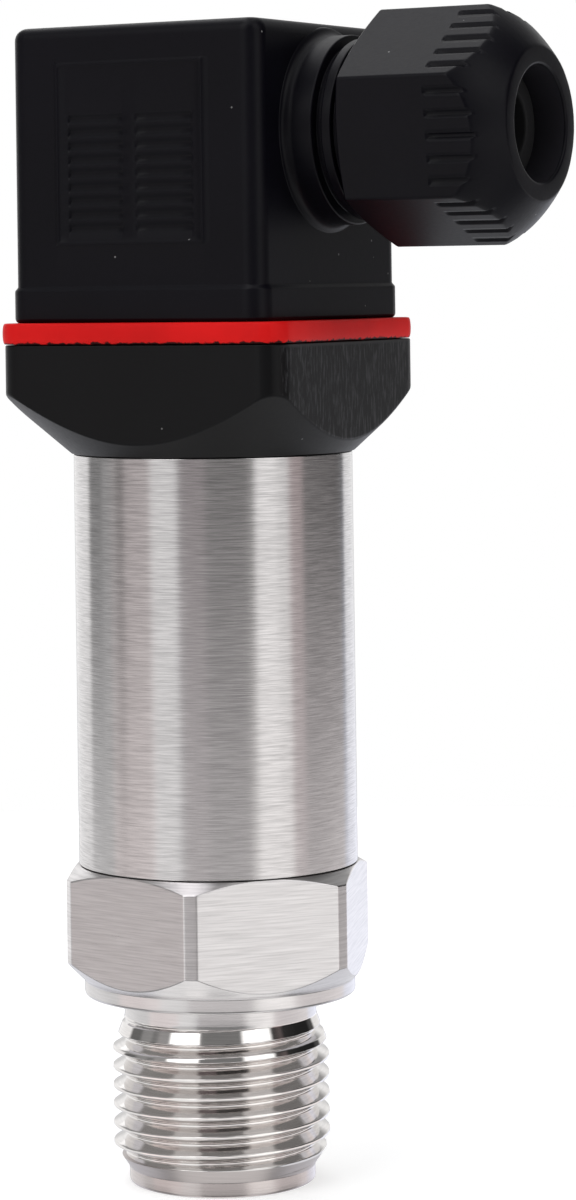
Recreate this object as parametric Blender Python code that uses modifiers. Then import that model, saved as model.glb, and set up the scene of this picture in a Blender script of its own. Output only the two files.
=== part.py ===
"""Pressure transducer with a square side-entry plug connector.

The sensor stands upright: the nose of its process thread ends at z = 0, the sensor axis is the
Z axis, and the cable gland points along +X. All sizes are in metres.
"""

import math

import bmesh
import bpy
from mathutils import Matrix

# Clearances
SEAT_GAP = 0.0003
SLOT_GAP = 0.00025

# Smoothness of round pieces, as steps round a full turn
LARGE_STEPS = 48
MEDIUM_STEPS = 28
SMALL_STEPS = 18
CORNER_STEPS = 4
GASKET_CORNER_STEPS = 6
EDGE_STEPS = 3
O_RING_SIDES = 6
SHARP_ANGLE = math.radians(30.0)

# Points closer than this to a plane lie on it
ON_PLANE = 0.000001

# Process connection, turned from hexagon bar
NOSE_STEP = 0.00148
NOSE_LENGTH = 0.00145
NOSE_EDGE = 0.0003
THREAD_OD = 0.020955
THREAD_PITCH = 0.001814
THREAD_DEPTH = 0.00116
THREAD_ANGLE = math.radians(55.0)
LEAD_IN_LENGTH = 0.0022
THREAD_LENGTH = 0.0099
RUN_OUT_LENGTH = 0.0024
NECK_DEPTH = 0.00118
NECK_LENGTH = 0.0022
COLLAR_OD = 0.0262
COLLAR_LENGTH = 0.0014
COLLAR_EDGE = 0.0003
HEX_FLATS = 0.0271
HEX_CORNER_OFF = 0.00035
HEX_LENGTH = 0.0111
HEX_TOP_CHAMFER = 0.0010
HEX_TOP_CHAMFER_ANGLE = math.radians(30.0)
HEX_CORNER_ANGLE = math.radians(-9.8)
SPIGOT_WALL = 0.0023
SPIGOT_ABOVE_RETAINER = 0.0009
PORT_BORE = 0.0060
SEAT_FLOOR_ABOVE_COLLAR = 0.0044

# Pressure capsule and its retaining ring
CAPSULE_HEIGHT = 0.0102
DIAPHRAGM_RIM = 0.0015
DIAPHRAGM_RECESS = 0.0004
CAPSULE_GROOVE_HEIGHT = 0.0020
CAPSULE_GROOVE_DEPTH = 0.0016
CAPSULE_GROOVE_ABOVE_FACE = 0.0016
HEADER_INSET = 0.0035
HEADER_HEIGHT = 0.0012
RETAINER_HEIGHT = 0.0026
RETAINER_TO_HEADER = 0.0007
RETAINER_KEY_WIDTH = 0.0020
RETAINER_KEY_DEPTH = 0.0012

# O-rings
O_RING_SECTION = 0.0014
HOUSING_GROOVE_DEPTH = 0.0014
HOUSING_GROOVE_HEIGHT = 0.0020
HOUSING_GROOVE_OFFSET = 0.0022

# Housing tube
TUBE_OD = 0.0270
TUBE_WALL = 0.0011
TUBE_LENGTH = 0.0391

# Circuit board and what it carries
HOLDER_HEIGHT = 0.0036
HOLDER_BORE = 0.0090
BOARD_INSET = 0.0021
BOARD_THICKNESS = 0.0016
BOARD_IN_HOLDER = 0.0024
CHIP_WIDTH = 0.0078
CHIP_HEIGHT = 0.0052
CHIP_THICKNESS = 0.0016
TRIMMER_WIDTH = 0.0048
TRIMMER_HEIGHT = 0.0066
TRIMMER_THICKNESS = 0.0044
TRIMMER_SPACING = 0.0078
TRIMMER_BELOW_TOP = 0.0080
CHIP_ABOVE_HOLDER = 0.0090

# Square adapter on top of the tube
ADAPTER_WIDTH = 0.0300
ADAPTER_CORNER = 0.0024
ADAPTER_HEIGHT = 0.01045
ADAPTER_FOOT_PROUD = 0.0002
ADAPTER_CONE_RISE = 0.0058
ADAPTER_CONE_REACH = 0.0066
ADAPTER_TURN = math.radians(2.2)
ADAPTER_SPIGOT_LENGTH = 0.0062
ADAPTER_WALL = 0.0041
ADAPTER_SPIGOT_WALL = 0.0026
ADAPTER_FLOOR_ABOVE_FOOT = 0.0038

# Profile gasket
GASKET_PROUD = 0.00015
GASKET_THICKNESS = 0.00175
GASKET_EDGE = 0.0005

# Contact base with its blades and threaded insert
BASE_CORNER = 0.0012
BLADE_FROM_EDGE = 0.0026
BLADE_WIDTH = 0.0058
BLADE_THICKNESS = 0.0008
BASE_RIM = 0.0018
BASE_HOLLOW = 0.0020
BLADE_REACH = 0.0068
EARTH_BLADE_WIDTH = 0.0072
INSERT_WALL = 0.0005
INSERT_HEIGHT = 0.0056

# Plug housing
PLUG_SETBACK = 0.0013
PLUG_HEIGHT = 0.0281
PLUG_CORNER = 0.0017
PLUG_TOP_EDGE = 0.0012
PLUG_OFFSET = 0.0004
PLUG_WALL = 0.0021
PLUG_ROOF = 0.0052
SKIRT_PROUD = 0.0003
SKIRT_HEIGHT = 0.0033
SKIRT_EDGE = 0.0003
SCREW_TUBE_WALL = 0.0011
HEAD_CLEARANCE = 0.0008
HEAD_RECESS_DEPTH = 0.0036

# Raised frame and grooves on the side of the plug
PANEL_FROM_SIDES = 0.00555
PANEL_BELOW_TOP = 0.0035
PANEL_LINE = 0.0004
PANEL_RELIEF = 0.0002
PANEL_ABOVE_SKIRT = 0.0039
PANEL_SHIFT = -0.00025
RIB_COUNT = 9
RIB_PITCH = 0.0013
RIB_FROM_FRAME = 0.00095
RIB_GROOVE = 0.0007
RIB_DEPTH = 0.0002
RIB_COLUMN_GAP = 0.0016
RIB_ABOVE_PANEL = 0.0013

# Cable spout on the plug
GLAND_AXIS_BELOW_TOP = 0.01025
SPOUT_BOSS_PROUD = 0.0004
SPOUT_BOSS_LENGTH = 0.0030
SPOUT_THREAD_OD = 0.0172
SPOUT_THREAD_DEPTH = 0.0006
SPOUT_GROOVE = 0.00075
SPOUT_RIDGE = 0.00105
SPOUT_LENGTH = 0.0136
SPOUT_WALL = 0.0010
CABLE_CLEARANCE = 0.0006
SPOUT_FILLET = 0.00075
SPOUT_FILLET_LENGTH = 0.0010
SPOUT_FLOOR = 0.0022

# Gland nut, washer and seal
NUT_WALL = 0.0009
NUT_CORNER_OFF = 0.00007
NUT_GAP_TO_BOSS = 0.0030
NUT_FRONT = 0.0073
NUT_BACK_STEP = 0.0002
NUT_BACK_CHAMFER = 0.0010
NUT_DOME_LENGTH = 0.0045
NUT_DOME_BULGE = 0.00045
NUT_FACE_BAND = 0.00175
NUT_DOME_POINTS = 5
NUT_MOUTH = 0.0109
GRIP_PER_FLAT = 5
GRIP_PITCH = 0.0021
GRIP_WIDTH = 0.0005
GRIP_DEPTH = 0.0005
GRIP_LENGTH = 0.0040
GRIP_PAST_DOME_START = 0.0009
WASHER_THICKNESS = 0.0008
WASHER_SETBACK = 0.00015
SEAL_BORE = 0.0064
SEAL_NOSE_CLEARANCE = 0.0004
SEAL_NOSE_SETBACK = 0.0030

# Terminal block, its contact clips and screws
BLOCK_CLEARANCE = 0.0008
BLOCK_ROOF = 0.0037
BLOCK_CORNER = 0.0015
CLIP_WALL = 0.0009
CLIP_DEPTH = 0.0028
CLIP_ROOF = 0.0016
BLADE_TO_CLIP_ROOF = 0.0010
TERMINAL_SCREW_OD = 0.0030
TERMINAL_SCREW_LENGTH = 0.0040
TERMINAL_HEAD_OD = 0.0036
TERMINAL_HEAD_HEIGHT = 0.0012
SCREW_SLOT_WIDTH = 0.0006
SCREW_SLOT_DEPTH = 0.0006

# Fixing screw through the plug and its seal
FIXING_SCREW_OD = 0.0030
FIXING_SCREW_CLEARANCE = 0.0005
FIXING_HEAD_OD = 0.0056
FIXING_HEAD_HEIGHT = 0.0020
FIXING_IN_INSERT = 0.0040
SCREW_SEAL_THICKNESS = 0.0008
SCREW_SEAL_PROUD = 0.0001

# Diameters and widths, worked out from the sizes above
NOSE_OD = THREAD_OD - 2 * NOSE_STEP
NECK_OD = THREAD_OD - 2 * NECK_DEPTH
HEX_TURNED_OD = HEX_FLATS / math.cos(math.pi / 6) - 2 * HEX_CORNER_OFF
TUBE_BORE = TUBE_OD - 2 * TUBE_WALL
SPIGOT_OD = TUBE_BORE - 2 * SEAT_GAP
SEAT_BORE = SPIGOT_OD - 2 * SPIGOT_WALL
CAPSULE_OD = SEAT_BORE - 2 * SEAT_GAP
DIAPHRAGM_OD = CAPSULE_OD - 2 * DIAPHRAGM_RIM
HEADER_OD = CAPSULE_OD - 2 * HEADER_INSET
RETAINER_BORE = HEADER_OD + 2 * RETAINER_TO_HEADER
BOARD_WIDTH = SPIGOT_OD - 2 * BOARD_INSET
ADAPTER_FOOT_OD = TUBE_OD + 2 * ADAPTER_FOOT_PROUD
ADAPTER_WIRE_BORE = SPIGOT_OD - 2 * ADAPTER_SPIGOT_WALL
RECESS_WIDTH = ADAPTER_WIDTH - 2 * ADAPTER_WALL
GASKET_WIDTH = ADAPTER_WIDTH + 2 * GASKET_PROUD
GASKET_CORNER = ADAPTER_CORNER + GASKET_PROUD
BASE_WIDTH = RECESS_WIDTH - 2 * SEAT_GAP
BLADE_RADIUS = BASE_WIDTH / 2 - BLADE_FROM_EDGE
INSERT_BORE = FIXING_SCREW_OD + 2 * SEAT_GAP
INSERT_OD = INSERT_BORE + 2 * INSERT_WALL
SCREW_WAY = FIXING_SCREW_OD + 2 * FIXING_SCREW_CLEARANCE
SCREW_TUBE_OD = SCREW_WAY + 2 * SCREW_TUBE_WALL
HEAD_RECESS_OD = FIXING_HEAD_OD + 2 * HEAD_CLEARANCE
SCREW_SEAL_OD = FIXING_HEAD_OD + 2 * SCREW_SEAL_PROUD
PLUG_WIDTH = ADAPTER_WIDTH - 2 * PLUG_SETBACK
SKIRT_WIDTH = PLUG_WIDTH + 2 * SKIRT_PROUD
ROOM_WIDTH = PLUG_WIDTH - 2 * PLUG_WALL
BLOCK_WIDTH = ROOM_WIDTH - 2 * BLOCK_CLEARANCE
PANEL_WIDTH = PLUG_WIDTH - 2 * PANEL_FROM_SIDES
PANEL_HEIGHT = PLUG_HEIGHT - SKIRT_HEIGHT - PANEL_ABOVE_SKIRT - PANEL_BELOW_TOP
RIB_LENGTH = (PANEL_WIDTH - RIB_COLUMN_GAP) / 2 - PANEL_LINE - RIB_FROM_FRAME
RIB_COLUMN_SPACING = RIB_LENGTH + RIB_COLUMN_GAP
SPOUT_BOSS_OD = SPOUT_THREAD_OD + 2 * SPOUT_BOSS_PROUD
SPOUT_ROOT_OD = SPOUT_THREAD_OD - 2 * SPOUT_THREAD_DEPTH
SPOUT_BORE = SPOUT_ROOT_OD - 2 * SPOUT_WALL
CABLE_BORE = SEAL_BORE + 2 * CABLE_CLEARANCE
NUT_BORE = SPOUT_THREAD_OD + 2 * SEAT_GAP
NUT_FLATS = NUT_BORE + 2 * NUT_WALL
NUT_CORNERS_OD = NUT_FLATS / math.cos(math.pi / 6) - 2 * NUT_CORNER_OFF
NUT_BACK_OD = NUT_FLATS - 2 * NUT_BACK_STEP
NUT_FACE_OD = NUT_MOUTH + 2 * NUT_FACE_BAND
WASHER_BORE = NUT_MOUTH + 2 * WASHER_SETBACK
SEAL_NOSE_OD = NUT_MOUTH - 2 * SEAL_NOSE_CLEARANCE

# The four blades: name, angle about the sensor axis in degrees, width
BLADE_PLACES = (
    ("contact_blade_1", 0.0, BLADE_WIDTH),
    ("contact_blade_2", 180.0, BLADE_WIDTH),
    ("contact_blade_3", 270.0, BLADE_WIDTH),
    ("earth_blade", 90.0, EARTH_BLADE_WIDTH),
)

# Heights along the sensor axis, worked out from the lengths above
Z_LEAD_IN = NOSE_LENGTH
Z_THREAD = Z_LEAD_IN + LEAD_IN_LENGTH
Z_RUN_OUT = Z_THREAD + THREAD_LENGTH
Z_NECK = Z_RUN_OUT + RUN_OUT_LENGTH
Z_COLLAR = Z_NECK + NECK_LENGTH
Z_HEX = Z_COLLAR + COLLAR_LENGTH
Z_HEX_TOP = Z_HEX + HEX_LENGTH
Z_SEAT = Z_COLLAR + SEAT_FLOOR_ABOVE_COLLAR
Z_CAPSULE = Z_SEAT + SEAT_GAP
Z_CAPSULE_TOP = Z_CAPSULE + CAPSULE_HEIGHT
Z_RETAINER = Z_CAPSULE_TOP + SEAT_GAP
Z_RETAINER_TOP = Z_RETAINER + RETAINER_HEIGHT
Z_SPIGOT_TOP = Z_RETAINER_TOP + SPIGOT_ABOVE_RETAINER
Z_TUBE = Z_HEX_TOP + SEAT_GAP
Z_TUBE_TOP = Z_TUBE + TUBE_LENGTH
Z_HOLDER = Z_SPIGOT_TOP + SEAT_GAP
Z_HOLDER_TOP = Z_HOLDER + HOLDER_HEIGHT
Z_BOARD = Z_HOLDER_TOP - BOARD_IN_HOLDER
Z_FOOT = Z_TUBE_TOP + SEAT_GAP
Z_ADAPTER_SPIGOT = Z_FOOT - ADAPTER_SPIGOT_LENGTH
Z_BOARD_TOP = Z_ADAPTER_SPIGOT - SEAT_GAP
Z_ADAPTER_TOP = Z_FOOT + ADAPTER_HEIGHT
Z_ADAPTER_FLOOR = Z_FOOT + ADAPTER_FLOOR_ABOVE_FOOT
Z_GASKET = Z_ADAPTER_TOP + SEAT_GAP
Z_GASKET_TOP = Z_GASKET + GASKET_THICKNESS
Z_BASE = Z_ADAPTER_FLOOR + SEAT_GAP
Z_BLADE = Z_BASE + SEAT_GAP
Z_BASE_TOP = Z_GASKET_TOP
Z_PLUG = Z_GASKET_TOP + SEAT_GAP
Z_SKIRT_TOP = Z_PLUG + SKIRT_HEIGHT
Z_PLUG_TOP = Z_PLUG + PLUG_HEIGHT
Z_ROOM_TOP = Z_PLUG_TOP - PLUG_ROOF
Z_GLAND = Z_PLUG_TOP - GLAND_AXIS_BELOW_TOP
Z_BLOCK = Z_BASE_TOP + SEAT_GAP
Z_CLIP = Z_BLOCK + SEAT_GAP
Z_BLADE_TOP = Z_BASE_TOP + BLADE_REACH
Z_CLIP_SLOT_TOP = Z_BLADE_TOP + BLADE_TO_CLIP_ROOF
Z_CLIP_TOP = Z_CLIP_SLOT_TOP + CLIP_ROOF
Z_BLOCK_TOP = Z_CLIP_TOP + BLOCK_ROOF
Z_HEAD_SEAT = Z_PLUG_TOP - HEAD_RECESS_DEPTH

# Places along the gland axis
X_PLUG_FACE = PLUG_WIDTH / 2 - PLUG_OFFSET
X_BOSS_END = X_PLUG_FACE + SPOUT_BOSS_LENGTH
X_SPOUT_END = X_PLUG_FACE + SPOUT_LENGTH
X_ROOM = X_PLUG_FACE - PLUG_WALL
X_SPOUT_FLOOR = X_ROOM + SPOUT_FLOOR
X_NUT = X_BOSS_END + NUT_GAP_TO_BOSS
X_WASHER = X_SPOUT_END + SEAT_GAP
X_NUT_SHOULDER = X_WASHER + WASHER_THICKNESS + SEAT_GAP
X_NUT_END = X_NUT_SHOULDER + NUT_FRONT

MAIN = None
CUTTERS = None


def clear_scene():
    """Removes every object that the file holds."""
    for item in list(bpy.data.objects):
        bpy.data.objects.remove(item, do_unlink=True)


def new_collection(name):
    """Makes a collection in the scene."""
    group = bpy.data.collections.new(name)
    bpy.context.scene.collection.children.link(group)
    return group


def material(name, colour, roughness, metallic):
    """A plain Principled material."""
    made = bpy.data.materials.get(name)
    if made is None:
        made = bpy.data.materials.new(name)
        made.use_nodes = True
        shader = made.node_tree.nodes["Principled BSDF"]
        shader.inputs["Base Color"].default_value = (*colour, 1.0)
        shader.inputs["Roughness"].default_value = roughness
        shader.inputs["Metallic"].default_value = metallic
        made.diffuse_color = (*colour, 1.0)
    return made


def steel():
    return material("brushed_stainless", (0.56, 0.54, 0.53), 0.32, 1.0)


def capsule_steel():
    return material("capsule_stainless", (0.62, 0.61, 0.60), 0.25, 1.0)


def zinc():
    return material("zinc_plated_screw", (0.60, 0.60, 0.58), 0.35, 1.0)


def brass():
    return material("brass", (0.71, 0.52, 0.22), 0.35, 1.0)


def tinned_brass():
    return material("tinned_contact", (0.70, 0.69, 0.66), 0.35, 1.0)


def black_plastic():
    return material("black_plastic", (0.012, 0.012, 0.013), 0.48, 0.0)


def black_adapter():
    return material("black_adapter", (0.015, 0.015, 0.016), 0.42, 0.0)


def grey_plastic():
    return material("grey_plastic", (0.10, 0.10, 0.105), 0.5, 0.0)


def red_rubber():
    return material("red_rubber", (0.68, 0.02, 0.02), 0.5, 0.0)


def black_rubber():
    return material("black_rubber", (0.02, 0.02, 0.02), 0.7, 0.0)


def board_green():
    return material("board_green", (0.02, 0.16, 0.06), 0.45, 0.0)


def add_object(name, mesh, finish=None):
    """Puts a mesh in the scene, as a part when it has a finish and as a cutter when it has none."""
    item = bpy.data.objects.new(name, mesh)
    if finish is None:
        CUTTERS.objects.link(item)
        item.hide_render = True
        item.display_type = "WIRE"
    else:
        MAIN.objects.link(item)
        mesh.materials.append(finish)
    return item


def mesh_from(name, bm):
    """Turns a bmesh into a mesh with outward faces."""
    bmesh.ops.recalc_face_normals(bm, faces=bm.faces)
    mesh = bpy.data.meshes.new(name)
    bm.to_mesh(mesh)
    bm.free()
    return mesh


def smooth(item):
    """Shades a round piece smooth and keeps its edges sharp."""
    item.data.shade_smooth()
    item.data.set_sharp_from_angle(angle=SHARP_ANGLE)
    return item


def block(name, x, y, z, finish=None, corner=0.0, edge=0.0, steps=CORNER_STEPS):
    """A box between pairs of limits, with rounded upright corners and an optional rounded top edge."""
    bm = bmesh.new()
    bmesh.ops.create_cube(bm, size=1.0)
    size = (x[1] - x[0], y[1] - y[0], z[1] - z[0])
    bmesh.ops.scale(bm, vec=size, verts=bm.verts)
    middle = ((x[0] + x[1]) / 2, (y[0] + y[1]) / 2, (z[0] + z[1]) / 2)
    bmesh.ops.translate(bm, vec=middle, verts=bm.verts)
    if corner > 0.0:
        upright = [e for e in bm.edges if abs(e.verts[0].co.z - e.verts[1].co.z) > size[2] / 2]
        bmesh.ops.bevel(bm, geom=upright, offset=corner, segments=steps, profile=0.5, affect="EDGES")
    if edge > 0.0:
        top = [e for e in bm.edges if min(v.co.z for v in e.verts) > z[1] - ON_PLANE]
        bmesh.ops.bevel(bm, geom=top, offset=edge, segments=EDGE_STEPS, profile=0.5, affect="EDGES")
    return add_object(name, mesh_from(name, bm), finish)


def prism(name, sides, across_flats, z, first_corner=0.0, finish=None):
    """An upright prism with regular sides, first_corner being the angle of one corner from +X."""
    bm = bmesh.new()
    radius = across_flats / 2 / math.cos(math.pi / sides)
    bmesh.ops.create_cone(
        bm, cap_ends=True, segments=sides, radius1=radius, radius2=radius, depth=z[1] - z[0]
    )
    found = min(bm.verts, key=lambda v: abs(math.atan2(v.co.y, v.co.x)))
    start = math.atan2(found.co.y, found.co.x)
    turn = Matrix.Rotation(first_corner - start, 3, "Z")
    bmesh.ops.rotate(bm, cent=(0, 0, 0), matrix=turn, verts=bm.verts)
    bmesh.ops.translate(bm, vec=(0, 0, (z[0] + z[1]) / 2), verts=bm.verts)
    return add_object(name, mesh_from(name, bm), finish)


def turned(name, profile, finish=None, steps=LARGE_STEPS, closed=True):
    """A solid of revolution about Z from (radius, height) points that run down the outer side."""
    outline = bpy.data.meshes.new(name + "_profile")
    points = [(radius, 0.0, height) for radius, height in profile]
    count = len(points)
    edges = [(i, i + 1) for i in range(count - 1)]
    if closed:
        edges.append((count - 1, 0))
    outline.from_pydata(points, edges, [])
    item = add_object(name, outline, finish)
    screw = item.modifiers.new("turn", "SCREW")
    screw.axis = "Z"
    screw.steps = steps
    screw.render_steps = steps
    screw.use_merge_vertices = True
    screw.merge_threshold = ON_PLANE
    item.data = bpy.data.meshes.new_from_object(item.evaluated_get(bpy.context.evaluated_depsgraph_get()))
    item.modifiers.clear()
    bpy.data.meshes.remove(outline)
    return smooth(item)


def rod(name, diameter, z, finish=None, steps=SMALL_STEPS, at=(0.0, 0.0)):
    """An upright cylinder."""
    bm = bmesh.new()
    bmesh.ops.create_cone(
        bm, cap_ends=True, segments=steps, radius1=diameter / 2, radius2=diameter / 2, depth=z[1] - z[0]
    )
    bmesh.ops.translate(bm, vec=(at[0], at[1], (z[0] + z[1]) / 2), verts=bm.verts)
    return add_object(name, mesh_from(name, bm), finish)


def boolean(item, cutter, operation="DIFFERENCE"):
    """Cuts, joins or intersects a part with a cutter."""
    change = item.modifiers.new(cutter.name, "BOOLEAN")
    change.operation = operation
    change.object = cutter
    change.solver = "EXACT"
    return item


def along_gland(item):
    """Lays an upright piece along the gland axis, its height becoming the distance along +X."""
    item.rotation_euler = (0.0, math.pi / 2, 0.0)
    item.location = (0.0, 0.0, Z_GLAND)
    return item


def o_ring(name, centre_radius, height, section, finish):
    """A round seal lying in its groove."""
    bpy.ops.mesh.primitive_torus_add(
        major_segments=MEDIUM_STEPS,
        minor_segments=O_RING_SIDES,
        major_radius=centre_radius,
        minor_radius=section / 2,
        location=(0.0, 0.0, height),
    )
    item = bpy.context.active_object
    item.name = name
    item.data.name = name
    for group in list(item.users_collection):
        group.objects.unlink(item)
    MAIN.objects.link(item)
    item.data.materials.append(finish)
    item.data.shade_smooth()
    return item


def thread_grooves():
    """Points down the thread: V-grooves one pitch apart between flat crests, a ring for each turn."""
    crest = THREAD_OD / 2
    half_mouth = THREAD_DEPTH * math.tan(THREAD_ANGLE / 2)
    count = int(THREAD_LENGTH / THREAD_PITCH)
    highest = (Z_THREAD + Z_RUN_OUT + (count - 1) * THREAD_PITCH) / 2
    points = []
    for i in range(count):
        middle = highest - i * THREAD_PITCH
        points += [
            (crest, middle + half_mouth),
            (crest - THREAD_DEPTH, middle),
            (crest, middle - half_mouth),
        ]
    return points


def process_fitting():
    """Nose, grooved thread, neck, collar, hexagon and spigot in one piece of steel."""
    port = PORT_BORE / 2
    seat = SEAT_BORE / 2
    spigot = SPIGOT_OD / 2
    groove_floor = spigot - HOUSING_GROOVE_DEPTH
    groove = Z_HEX_TOP + HOUSING_GROOVE_OFFSET
    turned_radius = HEX_TURNED_OD / 2
    top_reach = HEX_TOP_CHAMFER / math.tan(HEX_TOP_CHAMFER_ANGLE)
    lower_reach = turned_radius - COLLAR_OD / 2
    profile = [
        (seat, Z_SPIGOT_TOP),
        (spigot, Z_SPIGOT_TOP),
        (spigot, groove + HOUSING_GROOVE_HEIGHT),
        (groove_floor, groove + HOUSING_GROOVE_HEIGHT),
        (groove_floor, groove),
        (spigot, groove),
        (spigot, Z_HEX_TOP),
        (turned_radius - top_reach, Z_HEX_TOP),
        (turned_radius, Z_HEX_TOP - HEX_TOP_CHAMFER),
        (turned_radius, Z_HEX + lower_reach),
        (COLLAR_OD / 2, Z_HEX),
        (COLLAR_OD / 2, Z_COLLAR + COLLAR_EDGE),
        (COLLAR_OD / 2 - COLLAR_EDGE, Z_COLLAR),
        (NECK_OD / 2, Z_COLLAR),
        (NECK_OD / 2, Z_NECK),
        (THREAD_OD / 2, Z_RUN_OUT),
        *thread_grooves(),
        (THREAD_OD / 2, Z_THREAD),
        (NOSE_OD / 2, Z_LEAD_IN),
        (NOSE_OD / 2, NOSE_EDGE),
        (NOSE_OD / 2 - NOSE_EDGE, 0.0),
        (port, 0.0),
        (port, Z_SEAT),
        (seat, Z_SEAT),
    ]
    body = turned("process_fitting", profile, steel())
    blank = prism(
        "hexagon_outline", 6, HEX_FLATS, (-HEX_LENGTH, Z_SPIGOT_TOP + HEX_LENGTH), HEX_CORNER_ANGLE
    )
    return boolean(body, blank, "INTERSECT")


def sensor_capsule():
    """Oil-filled pressure capsule: diaphragm face down, seal groove, glass header on top."""
    outer = CAPSULE_OD / 2
    groove = Z_CAPSULE + CAPSULE_GROOVE_ABOVE_FACE
    profile = [
        (0.0, Z_CAPSULE_TOP + HEADER_HEIGHT),
        (HEADER_OD / 2, Z_CAPSULE_TOP + HEADER_HEIGHT),
        (HEADER_OD / 2, Z_CAPSULE_TOP),
        (outer, Z_CAPSULE_TOP),
        (outer, groove + CAPSULE_GROOVE_HEIGHT),
        (outer - CAPSULE_GROOVE_DEPTH, groove + CAPSULE_GROOVE_HEIGHT),
        (outer - CAPSULE_GROOVE_DEPTH, groove),
        (outer, groove),
        (outer, Z_CAPSULE),
        (DIAPHRAGM_OD / 2, Z_CAPSULE),
        (DIAPHRAGM_OD / 2, Z_CAPSULE + DIAPHRAGM_RECESS),
        (0.0, Z_CAPSULE + DIAPHRAGM_RECESS),
    ]
    return turned("sensor_capsule", profile, capsule_steel(), MEDIUM_STEPS, closed=False)


def capsule_o_ring():
    """Seal between the capsule and its seat in the fitting."""
    floor = CAPSULE_OD / 2 - CAPSULE_GROOVE_DEPTH
    height = Z_CAPSULE + CAPSULE_GROOVE_ABOVE_FACE + CAPSULE_GROOVE_HEIGHT / 2
    centre = (floor + SEAT_BORE / 2) / 2
    return o_ring("capsule_o_ring", centre, height, O_RING_SECTION, black_rubber())


def retaining_ring():
    """Threaded ring that holds the capsule down, with two key slots."""
    outer = SEAT_BORE / 2 - SEAT_GAP
    profile = [
        (RETAINER_BORE / 2, Z_RETAINER_TOP),
        (outer, Z_RETAINER_TOP),
        (outer, Z_RETAINER),
        (RETAINER_BORE / 2, Z_RETAINER),
    ]
    ring = turned("retaining_ring", profile, steel(), MEDIUM_STEPS)
    key = block(
        "retainer_key",
        (-SEAT_BORE, SEAT_BORE),
        (-RETAINER_KEY_WIDTH / 2, RETAINER_KEY_WIDTH / 2),
        (Z_RETAINER_TOP - RETAINER_KEY_DEPTH, Z_RETAINER_TOP + RETAINER_KEY_DEPTH),
    )
    return boolean(ring, key)


def housing_seal(name, groove_bottom):
    """Seal in a spigot groove, against the bore of the tube."""
    floor = SPIGOT_OD / 2 - HOUSING_GROOVE_DEPTH
    centre = (floor + TUBE_BORE / 2) / 2
    return o_ring(name, centre, groove_bottom + HOUSING_GROOVE_HEIGHT / 2, O_RING_SECTION, black_rubber())


def housing_tube():
    """Plain stainless tube between the hexagon and the adapter."""
    profile = [
        (TUBE_BORE / 2, Z_TUBE_TOP),
        (TUBE_OD / 2, Z_TUBE_TOP),
        (TUBE_OD / 2, Z_TUBE),
        (TUBE_BORE / 2, Z_TUBE),
    ]
    return turned("housing_tube", profile, steel())


def board_holder():
    """Moulded disc on the spigot with a slot for the circuit board."""
    profile = [
        (HOLDER_BORE / 2, Z_HOLDER_TOP),
        (SPIGOT_OD / 2, Z_HOLDER_TOP),
        (SPIGOT_OD / 2, Z_HOLDER),
        (HOLDER_BORE / 2, Z_HOLDER),
    ]
    disc = turned("board_holder", profile, grey_plastic(), MEDIUM_STEPS)
    half_slot = BOARD_THICKNESS / 2 + SLOT_GAP
    slot = block(
        "board_slot",
        (-BOARD_WIDTH / 2 - SLOT_GAP, BOARD_WIDTH / 2 + SLOT_GAP),
        (-half_slot, half_slot),
        (Z_BOARD - SEAT_GAP, Z_HOLDER_TOP + BOARD_IN_HOLDER),
    )
    return boolean(disc, slot)


def circuit_board():
    """Amplifier board standing in its holder."""
    return block(
        "circuit_board",
        (-BOARD_WIDTH / 2, BOARD_WIDTH / 2),
        (-BOARD_THICKNESS / 2, BOARD_THICKNESS / 2),
        (Z_BOARD, Z_BOARD_TOP),
        board_green(),
    )


def on_board(name, x, z, size, finish, side):
    """A component on one face of the board."""
    face = BOARD_THICKNESS / 2 + SEAT_GAP
    depth = sorted((side * face, side * (face + size[1])))
    return block(name, (x - size[0] / 2, x + size[0] / 2), depth, (z, z + size[2]), finish)


def amplifier_chip():
    """Signal amplifier on the front of the board."""
    size = (CHIP_WIDTH, CHIP_THICKNESS, CHIP_HEIGHT)
    return on_board("amplifier_chip", 0.0, Z_HOLDER_TOP + CHIP_ABOVE_HOLDER, size, black_plastic(), -1)


def trimmers():
    """Zero and span trimmers on the back of the board."""
    size = (TRIMMER_WIDTH, TRIMMER_THICKNESS, TRIMMER_HEIGHT)
    low = Z_BOARD_TOP - TRIMMER_BELOW_TOP - TRIMMER_HEIGHT
    for name, side in (("zero_trimmer", -1), ("span_trimmer", 1)):
        on_board(name, side * TRIMMER_SPACING / 2, low, size, grey_plastic(), 1)


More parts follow.
